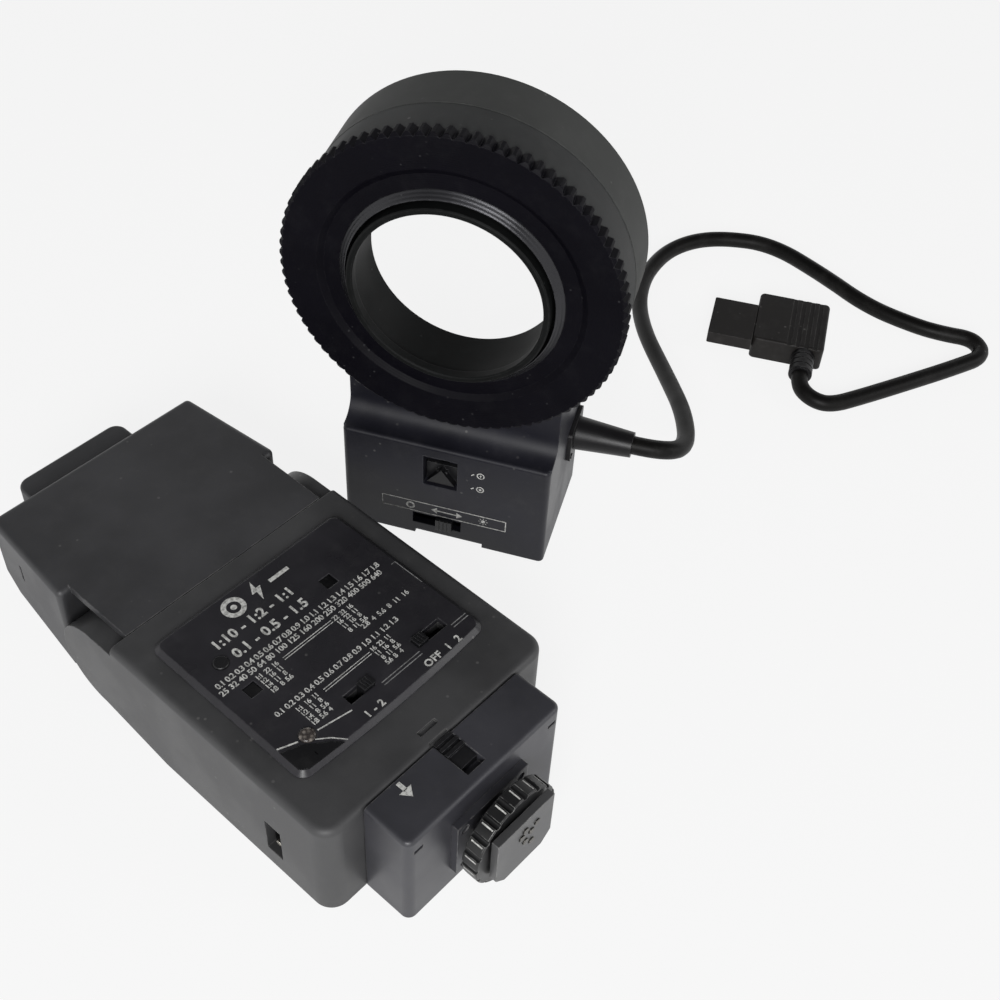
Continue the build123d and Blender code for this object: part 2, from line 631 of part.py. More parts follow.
def head_plan(inset, low_y, high_y, height, rise, mode=Mode.ADD):
    """Extrude the plan of the head, which narrows away from the hinge."""
    slope = head_taper / (head_far_y - head_near_y)
    a = near_half - inset - slope * (low_y - head_near_y)
    b = near_half - inset - slope * (high_y - head_near_y)
    with BuildSketch(PACK.offset(height)) as plan:
        with BuildLine():
            Polyline((-a, low_y), (-b, high_y), (b, high_y), (a, low_y), close=True)
        make_face()
    extrude(plan.sketch, amount=rise, mode=mode)


with BuildPart() as head_shell:
    head_plan(0, head_near_y, head_far_y, 0, pack_h)
    fillet(head_shell.edges().filter_by(Axis.Z), radius=head_edge_r)
    fillet(head_shell.faces().sort_by(Axis.Z)[-1].edges(), radius=head_edge_r)
    side_shape(((head_near_y - wall, -wall), (head_far_y + wall, -wall),
                (head_far_y + wall, head_low_far + head_chamfer + wall),
                (head_far_y, head_low_far + head_chamfer),
                (head_far_y - head_chamfer, head_low_far),
                (head_near_y - wall, head_low_near)), Mode.SUBTRACT)
    # Tongue over the barrel
    block(PACK, ((-tongue_w / 2, tongue_w / 2), (tongue_y, head_near_y + wall),
                 (tongue_low, pack_h)))
    # Hollow, open underneath for the cover
    head_plan(wall, head_near_y + wall, head_far_y - wall, -wall, pack_h, Mode.SUBTRACT)
    # Slit in the left wall and opening for the hinge arms
    block(PACK, ((-half_w, 0), (slit_y - slit_w / 2, slit_y + slit_w / 2),
                 (slit_low, slit_high)), Mode.SUBTRACT)
    for side in (-1, 1):
        block(PACK, ((side * arm_x - arm_w / 2 - run_gap, side * arm_x + arm_w / 2 + run_gap),
                     (head_near_y - wall, head_near_y + 2 * wall),
                     (barrel_z - arm_h / 2 - run_gap, barrel_z + arm_h / 2 + run_gap)),
              Mode.SUBTRACT)
finish(head_shell, "head_shell")

with BuildPart() as head_cover:
    head_plan(wall + slip, head_near_y + wall + slip, head_far_y - wall - slip, 0, pack_h)
    lid_far = head_far_y - head_chamfer
    lid_rise = head_low_far - head_low_near
    side_shape(((head_near_y - wall, -wall), (head_far_y, -wall),
                (head_far_y, head_low_far + head_chamfer), (lid_far, head_low_far),
                (head_near_y, head_low_near), (head_near_y - wall, head_low_near)),
               Mode.SUBTRACT)
    side_shape(((head_near_y - wall, head_low_near + head_lid_t),
                (head_near_y, head_low_near + head_lid_t), (lid_far, head_low_far + head_lid_t),
                (head_far_y, head_low_far + head_chamfer + head_lid_t), (head_far_y, 2 * pack_h),
                (head_near_y - wall, 2 * pack_h)), Mode.SUBTRACT)
finish(head_cover, "head_cover")

with BuildPart() as hinge_arms:
    for side in (-1, 1):
        x0, x1 = side * arm_x - arm_w / 2, side * arm_x + arm_w / 2
        rod(PACK, (x0, barrel_y, barrel_z), (x1, barrel_y, barrel_z), arm_eye_r)
        block(PACK, ((x0, x1), (barrel_y, head_near_y + wall),
                     (barrel_z - arm_h / 2, barrel_z + arm_h / 2)))
        block(PACK, ((x0 - wall, x1 + wall), (head_near_y + wall, head_near_y + 2 * wall),
                     (barrel_z - arm_h / 2 - wall, barrel_z + arm_h / 2 + wall)))
        rod(PACK, (x0 - wall, barrel_y, barrel_z), (x1 + wall, barrel_y, barrel_z),
            pin_r + run_gap, Mode.SUBTRACT)
finish(hinge_arms, "hinge_arms")

with BuildPart() as capacitor:
    y = head_near_y + 2 * wall + seam + capacitor_r
    z = pack_h - wall - seam - capacitor_r
    rod(PACK, (-capacitor_len / 2, y, z), (capacitor_len / 2, y, z), capacitor_r)
    fillet(capacitor.edges().filter_by(GeomType.CIRCLE), radius=seam * 3)
finish(capacitor, "capacitor")

with BuildPart() as end_cap:
    with BuildSketch(Plane.XZ.offset(-head_far_y)):
        with Locations((0, cap_block_z - cap_block_h / 2)):
            Rectangle(cap_block_w, cap_block_h)
    extrude(amount=head_far_y - cap_block_y)
    fillet(end_cap.edges().filter_by(Axis.Z).group_by(Axis.Y)[-1], radius=cap_block_corner)
    fillet(end_cap.faces().sort_by(Axis.Z)[-1].edges().sort_by(Axis.Y)[1:], radius=seam * 3)
finish(end_cap, "end_cap")

# Shoe module: box that carries the foot on the pack's end wall
module_near_y = pack_end_y - module_gap
with BuildPart() as module_case:
    block(PACK, ((-module_w / 2, module_w / 2), (module_far_y, module_near_y), (0, pack_h)))
    fillet(module_case.edges().filter_by(Axis.Z).group_by(Axis.Y)[0], radius=module_corner_r)
    fillet(module_case.faces().sort_by(Axis.Z)[-1].edges().filter_by(
        lambda e: e.center().Y < module_near_y - slip), radius=module_edge_r)
    block(PACK, ((-module_w / 2 + module_wall, module_w / 2 - module_wall),
                 (module_far_y + module_wall, module_near_y + wall),
                 (module_wall, pack_h - module_wall - release_t)), Mode.SUBTRACT)
    # Recess of the release slider, open through to the inside for its latch
    block(PACK, ((release_x - release_w / 2, release_x + release_w / 2),
                 (release_low_y - release_travel, module_near_y + wall),
                 (pack_h - release_sink - release_t - slip, pack_h + wall)), Mode.SUBTRACT)
    block(PACK, ((release_x - latch_w / 2 - slip, release_x + latch_w / 2 + slip),
                 (release_high_y - latch_len - release_travel - slip, module_near_y + wall),
                 (latch_z - latch_h, pack_h)), Mode.SUBTRACT)
    # Small slots near the upper corners of the end wall
    for side in (-1, 1):
        x = side * (module_w / 2 - slit_in)
        block(PACK, ((x - slit_len / 2, x + slit_len / 2),
                     (module_far_y - slip, module_far_y + module_wall / 2),
                     (slit_z - slit_h / 2, slit_z + slit_h / 2)), Mode.SUBTRACT)
finish(module_case, "module_case")

with BuildPart() as release_slider:
    z0, z1 = pack_h - release_sink - release_t, pack_h - release_sink
    block(PACK, ((release_x - release_w / 2 + slip, release_x + release_w / 2 - slip),
                 (release_low_y + slip, release_high_y), (z0, z1)))
    for i in range(3):
        y = (release_low_y + release_high_y) / 2 + i * 2 * slit_w
        block(PACK, ((release_x - release_w / 2 + slip, release_x + release_w / 2 - slip),
                     (y, y + slit_w), (z1, z1 + release_sink + seam)))
    # Stem down to the latch nose
    block(PACK, ((release_x - latch_w / 2, release_x + latch_w / 2),
                 (release_high_y - latch_len, release_high_y), (latch_z - latch_h / 2, z0)))
    block(PACK, ((release_x - latch_w / 2, release_x + latch_w / 2),
                 (release_high_y - latch_len, pack_end_y + latch_len),
                 (latch_z - latch_h / 2, latch_z + latch_h / 2)))
finish(release_slider, "release_slider")

with BuildPart() as module_connector:
    block(PACK, ((-link_w / 2, link_w / 2), (module_near_y - link_depth, module_near_y),
                 (module_wall, link_z + link_h / 2)))
    for i in range(4):
        x = (i - 1.5) * link_w / 4
        rod(PACK, (x, module_near_y, link_z), (x, pack_end_y + jack_wall, link_z), jack_pin_r)
finish(module_connector, "module_connector")

with BuildPart() as foot_bracket:
    block(PACK, ((-bracket_w / 2, bracket_w / 2), (module_far_y - bracket_t, module_far_y),
                 (bracket_low, bracket_top)))
    rod(PACK, (0, foot_inner_y, wheel_z), (0, module_far_y - bracket_t / 2, wheel_z), stem_r)
    for side in (-1, 1):
        for z in (bracket_low + wall, bracket_top - wall):
            rod(PACK, (side * (bracket_w / 2 - wall), module_far_y - bracket_t, z),
                (side * (bracket_w / 2 - wall), module_far_y - bracket_t + seam, z), screw_head_r,
                Mode.SUBTRACT)
finish(foot_bracket, "foot_bracket")

with BuildPart() as lock_wheel:
    rod(PACK, (0, wheel_y - wheel_t / 2, wheel_z), (0, wheel_y + wheel_t / 2, wheel_z), wheel_r)
    chamfer(lock_wheel.edges().filter_by(GeomType.CIRCLE), length=seam)
    rod(PACK, (0, wheel_y - wheel_t, wheel_z), (0, wheel_y + wheel_t, wheel_z),
        stem_r + run_gap, Mode.SUBTRACT)
    for i in range(wheel_teeth):
        spoke = 2 * pi * i / wheel_teeth
        rod(PACK, (wheel_r * cos(spoke), wheel_y - wheel_t, wheel_z + wheel_r * sin(spoke)),
            (wheel_r * cos(spoke), wheel_y + wheel_t, wheel_z + wheel_r * sin(spoke)),
            wheel_cut * 0.8, Mode.SUBTRACT)
finish(lock_wheel, "lock_wheel")

with BuildPart() as shoe_foot:
    block(PACK, ((-foot_w / 2, foot_w / 2), (foot_face_y, foot_inner_y),
                 (foot_low, foot_low + foot_len)))
    low_edges = shoe_foot.edges().filter_by(Axis.Y).group_by(Axis.Z)[0]
    chamfer(low_edges, length=foot_corner)
    for x, z in pad_spots:
        rod(PACK, (x, foot_face_y, foot_low + z), (x, foot_face_y + foot_t / 2, foot_low + z),
            pad_r + run_gap, Mode.SUBTRACT)
finish(shoe_foot, "shoe_foot")

with BuildPart() as foot_contacts:
    for x, z in pad_spots:
        rod(PACK, (x, foot_face_y - pad_rise, foot_low + z),
            (x, foot_face_y + foot_t / 2, foot_low + z), pad_r)
finish(foot_contacts, "foot_contacts")

# Ring head: rear housing with the rear band of the drum
with BuildPart() as ring_housing:
    turned(((knurl_front + run_gap, hub_r + run_gap), (knurl_front + run_gap, drum_r - seam),
            (knurl_front + run_gap + seam, drum_r), (drum_split, drum_r),
            (drum_split, drum_r - drum_wall), (knurl_front + rear_wall_t, drum_r - drum_wall),
            (knurl_front + rear_wall_t, hub_r + run_gap)))
finish(ring_housing, "ring_housing")

with BuildPart() as drum_cover:
    turned(((drum_split, drum_r - drum_wall), (drum_split, drum_r + slip),
            (drum_front - seam * 2, drum_r + slip), (drum_front, drum_r - seam),
            (drum_front, drum_r - drum_wall)))
finish(drum_cover, "drum_cover")

with BuildPart() as bore_tube:
    tube_out = bore_r + tube_wall / 2
    turned(((lip_back, lip_r + seam), (lip_back, lip_r + tube_wall), (lip_back + seam, tube_out),
            (partition_back, tube_out), (partition_back, drum_r - drum_wall - slip),
            (partition_back + partition_t, drum_r - drum_wall - slip),
            (partition_back + partition_t, bore_r + tube_wall), (bore_end - tube_wall, bore_r +
            tube_wall), (bore_end, bore_r + tube_wall / 2), (bore_end, bore_r),
            (lip_front + seam, bore_r), (lip_front, lip_r), (lip_back + seam, lip_r)))
finish(bore_tube, "bore_tube")

with BuildPart() as thread_ring:
    turned(((thread_back, thread_in_r), (thread_back + thread_slope, thread_out_r),
            (thread_front, thread_out_r), (thread_front, thread_flange_r),
            (thread_front + thread_flange_t, thread_flange_r),
            (thread_front + thread_flange_t, thread_in_r)))
finish(thread_ring, "thread_ring")

# Knurled ring that turns round the ring's axis
with BuildPart() as knurled_ring:
    sunk = knurl_back + knurl_dish + step_depth
    turned(((sunk, thread_out_r), (sunk, step_r - step_w / 2),
            (knurl_back + knurl_dish / 2, step_r + step_w / 2), (knurl_back, knurl_r - 3 * seam),
            (knurl_back + 2 * seam, knurl_r), (knurl_front, knurl_r), (knurl_front, hub_r),
            (thread_front - run_gap, hub_r), (thread_front - run_gap, thread_out_r)))
    with BuildSketch(Plane(HEAD.from_local_coords(Vector(0, knurl_back - seam, ring_z)),
                           x_dir=HEAD.x_dir, z_dir=HEAD.y_dir)):
        with PolarLocations(knurl_r, knurl_count):
            RegularPolygon(knurl_cut, 4)
    extrude(amount=knurl_front, mode=Mode.SUBTRACT)
finish(knurled_ring, "knurled_ring")

# Flash tube, its dish and the sloped diffuser in front of them
cone_rise, cone_run = diffuser_rim_r - diffuser_root_r, diffuser_rim - bore_end
cone = atan2(cone_rise, cone_run)
back_s, back_r = bore_end - diffuser_t * sin(cone), diffuser_root_r + diffuser_t * cos(cone)
with BuildPart() as ring_diffuser:
    turned(((bore_end, diffuser_root_r), (diffuser_rim, diffuser_rim_r),
            (back_s + (diffuser_rim_r - back_r) / tan(cone), diffuser_rim_r), (back_s, back_r)))
finish(ring_diffuser, "ring_diffuser")

with BuildPart() as ring_tube:
    with BuildSketch(head_side()):
        with Locations((flash_depth, ring_z + flash_ring_r)):
            Circle(flash_r)
    revolve(axis=ring_axis)
finish(ring_tube, "ring_tube")

with BuildPart() as ring_reflector:
    deep_r, wide_r = flash_ring_r - flash_r, flash_ring_r + flash_r
    t = reflector_t
    turned(((back_s - 2 * t, back_r + t), (reflector_back, deep_r - t), (reflector_back, wide_r + t),
            (reflector_back + 2 * t, drum_r - drum_wall - slip - t), (drum_split + 3 * t,
            drum_r - drum_wall - slip - t), (drum_split + 3 * t, drum_r - drum_wall - slip),
            (reflector_back + t, drum_r - drum_wall - slip), (reflector_back - t, wide_r + t),
            (reflector_back - t, deep_r - 2 * t), (back_s - 3 * t, back_r)))
    # Posts that carry the flash tube, cut to its round
    for i in range(post_count):
        spot = 2 * pi * i / post_count
        across, height = flash_ring_r * sin(spot), ring_z + flash_ring_r * cos(spot)
        rod(HEAD, (across, reflector_back - t / 2, height), (across, flash_depth - flash_r / 2,
            height), flash_r / 2)
    with BuildSketch(head_side()):
        with Locations((flash_depth, ring_z + flash_ring_r)):
            Circle(flash_r)
    revolve(axis=ring_axis, mode=Mode.SUBTRACT)
finish(ring_reflector, "ring_reflector")

# Box under the ring: shell with the neck that holds the drum
half_box = box_w / 2
neck_top = ring_z - drum_r * 0.6
with BuildPart() as box_shell:
    block(HEAD, ((-half_box, half_box), (0, box_depth), (0, box_h)))
    fillet(box_shell.edges().filter_by(Axis.Z), radius=box_corner_r)
    fillet(box_shell.faces().sort_by(Axis.Z)[-1].edges(), radius=box_edge_r)
    block(HEAD, ((-half_box, half_box), (neck_low, neck_high), (box_h - wall, neck_top)))
    # Concave rise behind the neck
    with BuildSketch(head_side(-half_box)):
        with BuildLine():
            Line((neck_low - neck_hollow_r, box_h - wall), (neck_low, box_h - wall))
            Line((neck_low, box_h - wall), (neck_low, box_h + neck_hollow_r))
            ThreePointArc((neck_low, box_h + neck_hollow_r),
                          (neck_low - neck_hollow_r * (1 - cos(pi / 4)),
                           box_h + neck_hollow_r * (1 - sin(pi / 4))),
                          (neck_low - neck_hollow_r, box_h))
            Line((neck_low - neck_hollow_r, box_h),
                 (neck_low - neck_hollow_r, box_h - wall))
        make_face()
    extrude(amount=box_w)
    # Front shoulder that slopes back to the drum
    with BuildSketch(head_side(-half_box)):
        with BuildLine():
            Polyline((neck_high, box_h - wall), (box_depth, box_h - wall), (box_depth, box_h),
                     (neck_high, box_h + neck_hollow_r), close=True)
        make_face()
    extrude(amount=box_w)
    # Seat of the drum, and room for the knurled ring
    turned(((neck_low - wall, 0), (neck_low - wall, drum_r), (drum_split, drum_r),
            (drum_split, drum_r + slip), (drum_front + wall, drum_r + slip),
            (drum_front + wall, 0)), Mode.SUBTRACT)
    turned(((knurl_back - seam, 0), (knurl_back - seam, knurl_r + seam),
            (neck_low, knurl_r + seam), (neck_low, 0)), Mode.SUBTRACT)
    # Hollow, open underneath
    block(HEAD, ((-half_box + box_wall, half_box - box_wall), (box_wall, box_depth - box_wall),
                 (-wall, box_h - box_wall)), Mode.SUBTRACT)
    # Well of the vertical slider, with a slot in its floor
    block(HEAD, ((well_x - well_w / 2 - box_wall, well_x + well_w / 2 + box_wall),
                 (box_wall / 2, well_depth + well_floor),
                 (well_low - box_wall, well_low + well_h + box_wall)))
    block(HEAD, ((well_x - well_w / 2, well_x + well_w / 2), (-wall, well_depth),
                 (well_low, well_low + well_h)), Mode.SUBTRACT)
    block(HEAD, ((well_x - stem_w / 2 - slip, well_x + stem_w / 2 + slip),
                 (-wall, well_depth + wall), (slider_rest_z - stem_w / 2 - slip,
                 slider_rest_z + stem_w / 2 + slider_travel + slip)), Mode.SUBTRACT)
    # Slot of the light selector and the notch in the lower edge
    block(HEAD, ((selector_x - selector_slot_w / 2, selector_x + selector_slot_w / 2),
                 (-wall, box_wall + wall), (selector_z - selector_slot_h / 2,
                 selector_z + selector_slot_h / 2)), Mode.SUBTRACT)
    block(HEAD, ((foot_notch_low, foot_notch_high), (-wall, foot_notch_depth),
                 (-wall, foot_notch_h)), Mode.SUBTRACT)
    # Window of the point light in the front wall
    block(HEAD, ((-point_w / 2, point_w / 2), (box_depth - box_wall - wall, box_depth + wall),
                 (point_z - point_h / 2, point_z + point_h / 2)), Mode.SUBTRACT)
    # Cord hole in the right wall
    rod(HEAD, (half_box - box_wall - wall, relief_depth, gland_z), (half_box + wall, relief_depth,
        gland_z), cord_d / 2 + seam, Mode.SUBTRACT)
finish(box_shell, "box_shell")

with BuildPart() as box_cover:
    block(HEAD, ((-half_box + box_wall + slip, half_box - box_wall - slip),
                 (box_wall + slip, box_depth - box_wall - slip), (0, cover_t)))
finish(box_cover, "box_cover")

with BuildPart() as selector_knob:
    block(HEAD, ((selector_rest_x - selector_w / 2, selector_rest_x + selector_w / 2),
                 (-selector_rise, box_wall + slip), (selector_z - selector_slot_h / 2 + slip,
                 selector_z + selector_slot_h / 2 - slip)))
    for step in (-1, 0, 1):
        groove = selector_rest_x + step * selector_w / 4
        block(HEAD, ((groove - slip, groove + slip), (-selector_rise - slip, -selector_rise + seam),
                     (selector_z - selector_slot_h, selector_z + selector_slot_h)), Mode.SUBTRACT)
    block(HEAD, ((selector_rest_x - selector_w / 2, selector_rest_x + selector_w / 2),
                 (box_wall + slip, box_wall + slip + knob_flange_t),
                 (selector_z - selector_slot_h / 2 - knob_flange,
                  selector_z + selector_slot_h / 2 + knob_flange)))
finish(selector_knob, "selector_knob")

# Slider in the square well: a plate with a raised triangle
with BuildPart() as well_slider:
    low, high = slider_rest_z - slider_h / 2, slider_rest_z + slider_h / 2
    block(HEAD, ((well_x - slider_w / 2, well_x + slider_w / 2),
                 (well_depth - slip - slider_plate, well_depth - slip), (low, high)))
    with BuildSketch(Plane(HEAD.from_local_coords(Vector(0, slider_sink, 0)),
                           x_dir=-HEAD.x_dir, z_dir=HEAD.y_dir)):
        with BuildLine():
            reach = slider_w / 2 - slider_border
            Polyline((-well_x - reach, low + slider_border), (-well_x + reach, low + slider_border),
                     (-well_x, high - slider_border / 2), close=True)
        make_face()
    extrude(amount=well_depth - slider_plate - slider_sink)
    stem_x = (well_x - stem_w / 2, well_x + stem_w / 2)
    stem_z = (slider_rest_z - stem_w / 2, slider_rest_z + stem_w / 2)
    foot_back = well_depth + well_floor + slip
    block(HEAD, (stem_x, (well_depth - wall, foot_back), stem_z))
    block(HEAD, ((stem_x[0] - knob_flange, stem_x[1] + knob_flange),
                 (foot_back, foot_back + knob_flange_t), stem_z))
finish(well_slider, "well_slider")

with BuildPart() as point_window:
    block(HEAD, ((-point_w / 2 + slip, point_w / 2 - slip),
                 (box_depth - point_t, box_depth - slip),
                 (point_z - point_h / 2 + slip, point_z + point_h / 2 - slip)))
finish(point_window, "point_window")

dish_front = box_depth - box_wall - slip
with BuildPart() as point_reflector:
    with BuildSketch(head_side(-point_w / 2 + slip)):
        with BuildLine():
            half_h = point_h / 2 - slip
            outer = ((dish_front, point_z - half_h), (dish_front - point_depth, point_z))
            ThreePointArc(outer[0], outer[1], (dish_front, point_z + half_h))
            Line((dish_front, point_z + half_h), (dish_front, point_z + half_h - reflector_t))
            ThreePointArc((dish_front, point_z + half_h - reflector_t),
                          (dish_front - point_depth + reflector_t, point_z),
                          (dish_front, point_z - half_h + reflector_t))
            Line((dish_front, point_z - half_h + reflector_t), (dish_front, point_z - half_h))
        make_face()
    extrude(amount=point_w - 2 * slip)
    # End plates that hold the tube
    for side in (-1, 1):
        plate = sorted((side * (point_w / 2 - slip), side * (point_w / 2 - slip - reflector_t)))
        block(HEAD, (plate, (dish_front - point_depth + reflector_t / 2,
                             dish_front - point_depth / 4),
                     (point_z - point_tube_r - reflector_t, point_z + point_tube_r + reflector_t)))
finish(point_reflector, "point_reflector")

with BuildPart() as point_tube:
    s = dish_front - point_depth / 2
    reach = point_w / 2 - slip - reflector_t
    rod(HEAD, (-reach, s, point_z), (reach, s, point_z), point_tube_r)
finish(point_tube, "point_tube")

with BuildPart() as trigger_board:
    low_s = well_depth + 2 * wall
    block(HEAD, ((-half_box + 2 * box_wall, half_box - 3 * box_wall), (low_s, low_s + board_t),
                 (cover_t, box_h - 2 * box_wall)))
finish(trigger_board, "trigger_board")

# Cord gland, strain relief and cord
with BuildPart() as cord_gland:
    with BuildSketch(head_side(half_box)):
        with Locations((gland_depth, gland_z)):
            RectangleRounded(gland_w, gland_h, box_corner_r)
    extrude(amount=gland_t)
    rod(HEAD, (half_box - wall, relief_depth, gland_z), (half_box + wall, relief_depth, gland_z),
        cord_d / 2 + seam, Mode.SUBTRACT)
    screw_z = gland_z - gland_screw_drop
    rod(HEAD, (half_box, gland_screw_depth, screw_z),
        (half_box + gland_t + seam, gland_screw_depth, screw_z), screw_head_r * 0.7)
finish(cord_gland, "cord_gland")

with BuildPart() as strain_relief:
    rod(HEAD, (relief_root_x, relief_depth, gland_z),
        (relief_root_x + relief_len, relief_depth, gland_z), relief_r, Mode.ADD, relief_end_r)
    for i in range(relief_rings):
        x = relief_root_x + relief_len * (i + 1) / (relief_rings + 1)
        r = relief_r + (relief_end_r - relief_r) * (x - relief_root_x) / relief_len
        block(HEAD, ((x - relief_ring_w / 2, x + relief_ring_w / 2),
                     (relief_depth - relief_r, relief_depth + relief_r),
                     (gland_z - 2 * relief_r, gland_z - r + relief_cut)), Mode.SUBTRACT)
finish(strain_relief, "strain_relief")

leave = relief_root_x + relief_len
arrive = plug_low_side - boot_len
cord_start = [HEAD.from_local_coords(Vector(leave + lead, relief_depth, gland_z))
              for lead in (0, relief_lead)]
cord_end = [PLUG.from_local_coords(Vector(boot_x, arrive - lead, boot_z))
            for lead in (boot_lead, 0)]
cord_path = cord_start + [Vector(*p) for p in cord_points] + cord_end
runs = [b - a for a, b in zip(cord_path, cord_path[1:])]
bends = []
for before, after in zip(runs, runs[1:]):
    half_turn = radians(before.get_angle(after)) / 2
    bends.append(bend_share * min(before.length, after.length) / tan(half_turn))
with BuildPart() as cord:
    with BuildLine() as route:
        FilletPolyline(*cord_path, radius=bends)
    with BuildSketch(Plane(cord_start[0], z_dir=runs[0])):
        Circle(cord_d / 2)
    sweep(path=route.wire())
print("cord bends", [round(r, 1) for r in bends])
print("cord runs", [round(run.length, 1) for run in runs])
print("cord length", round(route.wire().length, 1), "volume share",
      round(cord.part.volume / (pi * cord_d ** 2 / 4 * route.wire().length), 4))
finish(cord, "cord")

# Plug
with BuildPart() as plug_body:
    block(PLUG, ((nose_len, plug_len), (plug_low_side, plug_high_side), (0, plug_h)),
          corner=plug_corner_r)
    fillet(plug_body.faces().sort_by(Axis.Z)[-1].edges(), radius=plug_corner_r / 2)
    for i in range(plug_ribs):
        x = plug_len - plug_rib_w * (2 * i + 2.5)
        block(PLUG, ((x, x + plug_rib_w), (plug_low_side - wall, plug_high_side + wall),
                     (plug_h - plug_rib_cut, plug_h + wall)), Mode.SUBTRACT)
finish(plug_body, "plug_body")

with BuildPart() as plug_nose:
    block(PLUG, ((0, nose_len), (-nose_w / 2, nose_w / 2), (plug_h - nose_h, plug_h)))
    fillet(plug_nose.edges().filter_by(Axis.Z).filter_by_position(
        Axis.Z, 0, plug_h).sort_by_distance(PLUG.origin)[:2], radius=seam * 2)
    block(PLUG, ((-wall, nose_len - wall), (-nose_w / 2 + socket_wall, nose_w / 2 - socket_wall),
                 (plug_h - nose_h + socket_wall, plug_h - socket_wall)), Mode.SUBTRACT)
finish(plug_nose, "plug_nose")

with BuildPart() as plug_pins:
    for i in range(4):
        y = (i - 1.5) * plug_pin_pitch
        rod(PLUG, (nose_len - wall - plug_pin_len, y, plug_nose_z), (nose_len - wall, y,
            plug_nose_z), plug_pin_r)
finish(plug_pins, "plug_pins")

with BuildPart() as plug_boot:
    rod(PLUG, (boot_x, plug_low_side, boot_z), (boot_x, plug_low_side - boot_len, boot_z),
        boot_r - boot_cut)
    ring_pitch = boot_len / boot_rings
    for i in range(boot_rings):
        y = plug_low_side - i * ring_pitch
        rod(PLUG, (boot_x, y, boot_z), (boot_x, y - ring_pitch * boot_ring_share, boot_z), boot_r)
finish(plug_boot, "plug_boot")
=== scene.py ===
import json
from math import cos, pi, radians, sin

import bpy
from mathutils import Matrix, Vector

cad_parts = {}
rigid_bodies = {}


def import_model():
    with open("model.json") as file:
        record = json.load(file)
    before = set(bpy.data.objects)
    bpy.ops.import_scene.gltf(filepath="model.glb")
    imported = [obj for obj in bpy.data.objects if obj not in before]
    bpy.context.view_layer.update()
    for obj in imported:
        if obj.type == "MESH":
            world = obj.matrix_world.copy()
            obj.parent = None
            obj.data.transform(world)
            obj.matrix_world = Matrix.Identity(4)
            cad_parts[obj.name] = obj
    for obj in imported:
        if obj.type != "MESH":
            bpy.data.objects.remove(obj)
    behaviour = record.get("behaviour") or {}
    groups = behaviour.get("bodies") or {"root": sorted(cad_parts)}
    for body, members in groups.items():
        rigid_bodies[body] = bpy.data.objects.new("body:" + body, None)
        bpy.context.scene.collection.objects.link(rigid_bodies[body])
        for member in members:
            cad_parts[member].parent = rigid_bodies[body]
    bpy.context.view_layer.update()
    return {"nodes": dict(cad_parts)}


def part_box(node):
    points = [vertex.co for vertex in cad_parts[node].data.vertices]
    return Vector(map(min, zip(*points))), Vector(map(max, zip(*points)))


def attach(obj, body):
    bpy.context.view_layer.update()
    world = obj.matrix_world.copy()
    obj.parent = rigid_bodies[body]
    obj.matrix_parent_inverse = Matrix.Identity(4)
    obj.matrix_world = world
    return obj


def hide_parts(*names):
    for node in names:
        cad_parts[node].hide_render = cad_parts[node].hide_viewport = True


# The macro ring flash: a flat power pack with a tilting head and a shoe module, and a ring flash
# head on its own box, with its cord and plug. Metres, +Z up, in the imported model's frame.

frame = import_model()

# Places of the ring head and the plug on the table
MM = 0.001
HEAD_ORIGIN = Vector((64.2, 14.4, 0.0)) * MM
HEAD_TURN = radians(-63.9)
RING_HEIGHT = 86.7 * MM
PLUG_ORIGIN = Vector((190.4, 13.7, 0.0)) * MM
PLUG_TURN = radians(-62.4)

# Cord, in millimetres as the route is drawn
CORD_WIDTH = 5.2
RELIEF_END = (46.0, 28.0, 25.0)       # across, depth and height in the ring head's frame
RELIEF_LEAD = 9.2
BOOT_END = (31.2, -17.0, 4.0)         # along, across and height in the plug's frame
BOOT_LEAD = 4.8
CORD_ROUTE = (
    (124.4, -23.4, 20.0), (137.9, -12.7, 16.5), (152.0, 2.2, 10.0), (173.0, 29.5, 4.9),
    (191.2, 43.5, 2.6), (208.7, 48.5, 2.6), (222.4, 46.6, 2.6), (233.1, 39.2, 2.6),
    (242.5, 24.5, 2.6), (240.6, 1.9, 2.6), (236.9, -18.2, 2.6), (239.6, -35.6, 2.6),
    (242.9, -44.4, 2.6), (246.9, -51.6, 2.6), (244.6, -56.9, 2.6), (239.6, -58.4, 2.6),
    (233.2, -56.0, 2.6), (225.5, -53.0, 2.6), (210.6, -46.7, 2.6), (197.5, -41.0, 2.6),
    (186.3, -35.9, 2.8), (183.7, -30.2, 3.4),
)

# Camera, at the photograph's angle
CAMERA_PLACE = Vector((-0.12956, -0.16381, 0.29871))
CAMERA_RIGHT = Vector((0.667402, -0.743442, 0.043226))
CAMERA_DOWN = Vector((-0.524712, -0.510646, -0.681115))
CAMERA_AHEAD = Vector((0.528442, 0.431897, -0.730899))
CAMERA_LENS = 50.68
SENSOR = 36.0

# Light
FLOOR_WHITE = (0.82, 0.82, 0.82, 1.0)
SKY_AT_DIFFUSE = 0.42
KEY_PLACE, KEY_POWER = (-0.75, -0.62, 0.62), 9.6
FILL_PLACE, FILL_POWER = (0.55, -0.85, 0.5), 1.4
LAMP_TARGET, LAMP_SIZE = (0.05, 0.0, 0.03), 0.5
CEILING_GREY = (0.15, 0.15, 0.155, 1.0)
CEILING_START, CEILING_FULL = 0.25, 0.7    # height of the view ray
FLOOR_SHOWN_WHITE = 0.86                   # share of plain white that the camera sees in the floor
FLOOR_REACH, FLOOR_DROP = 6.0, 0.00005

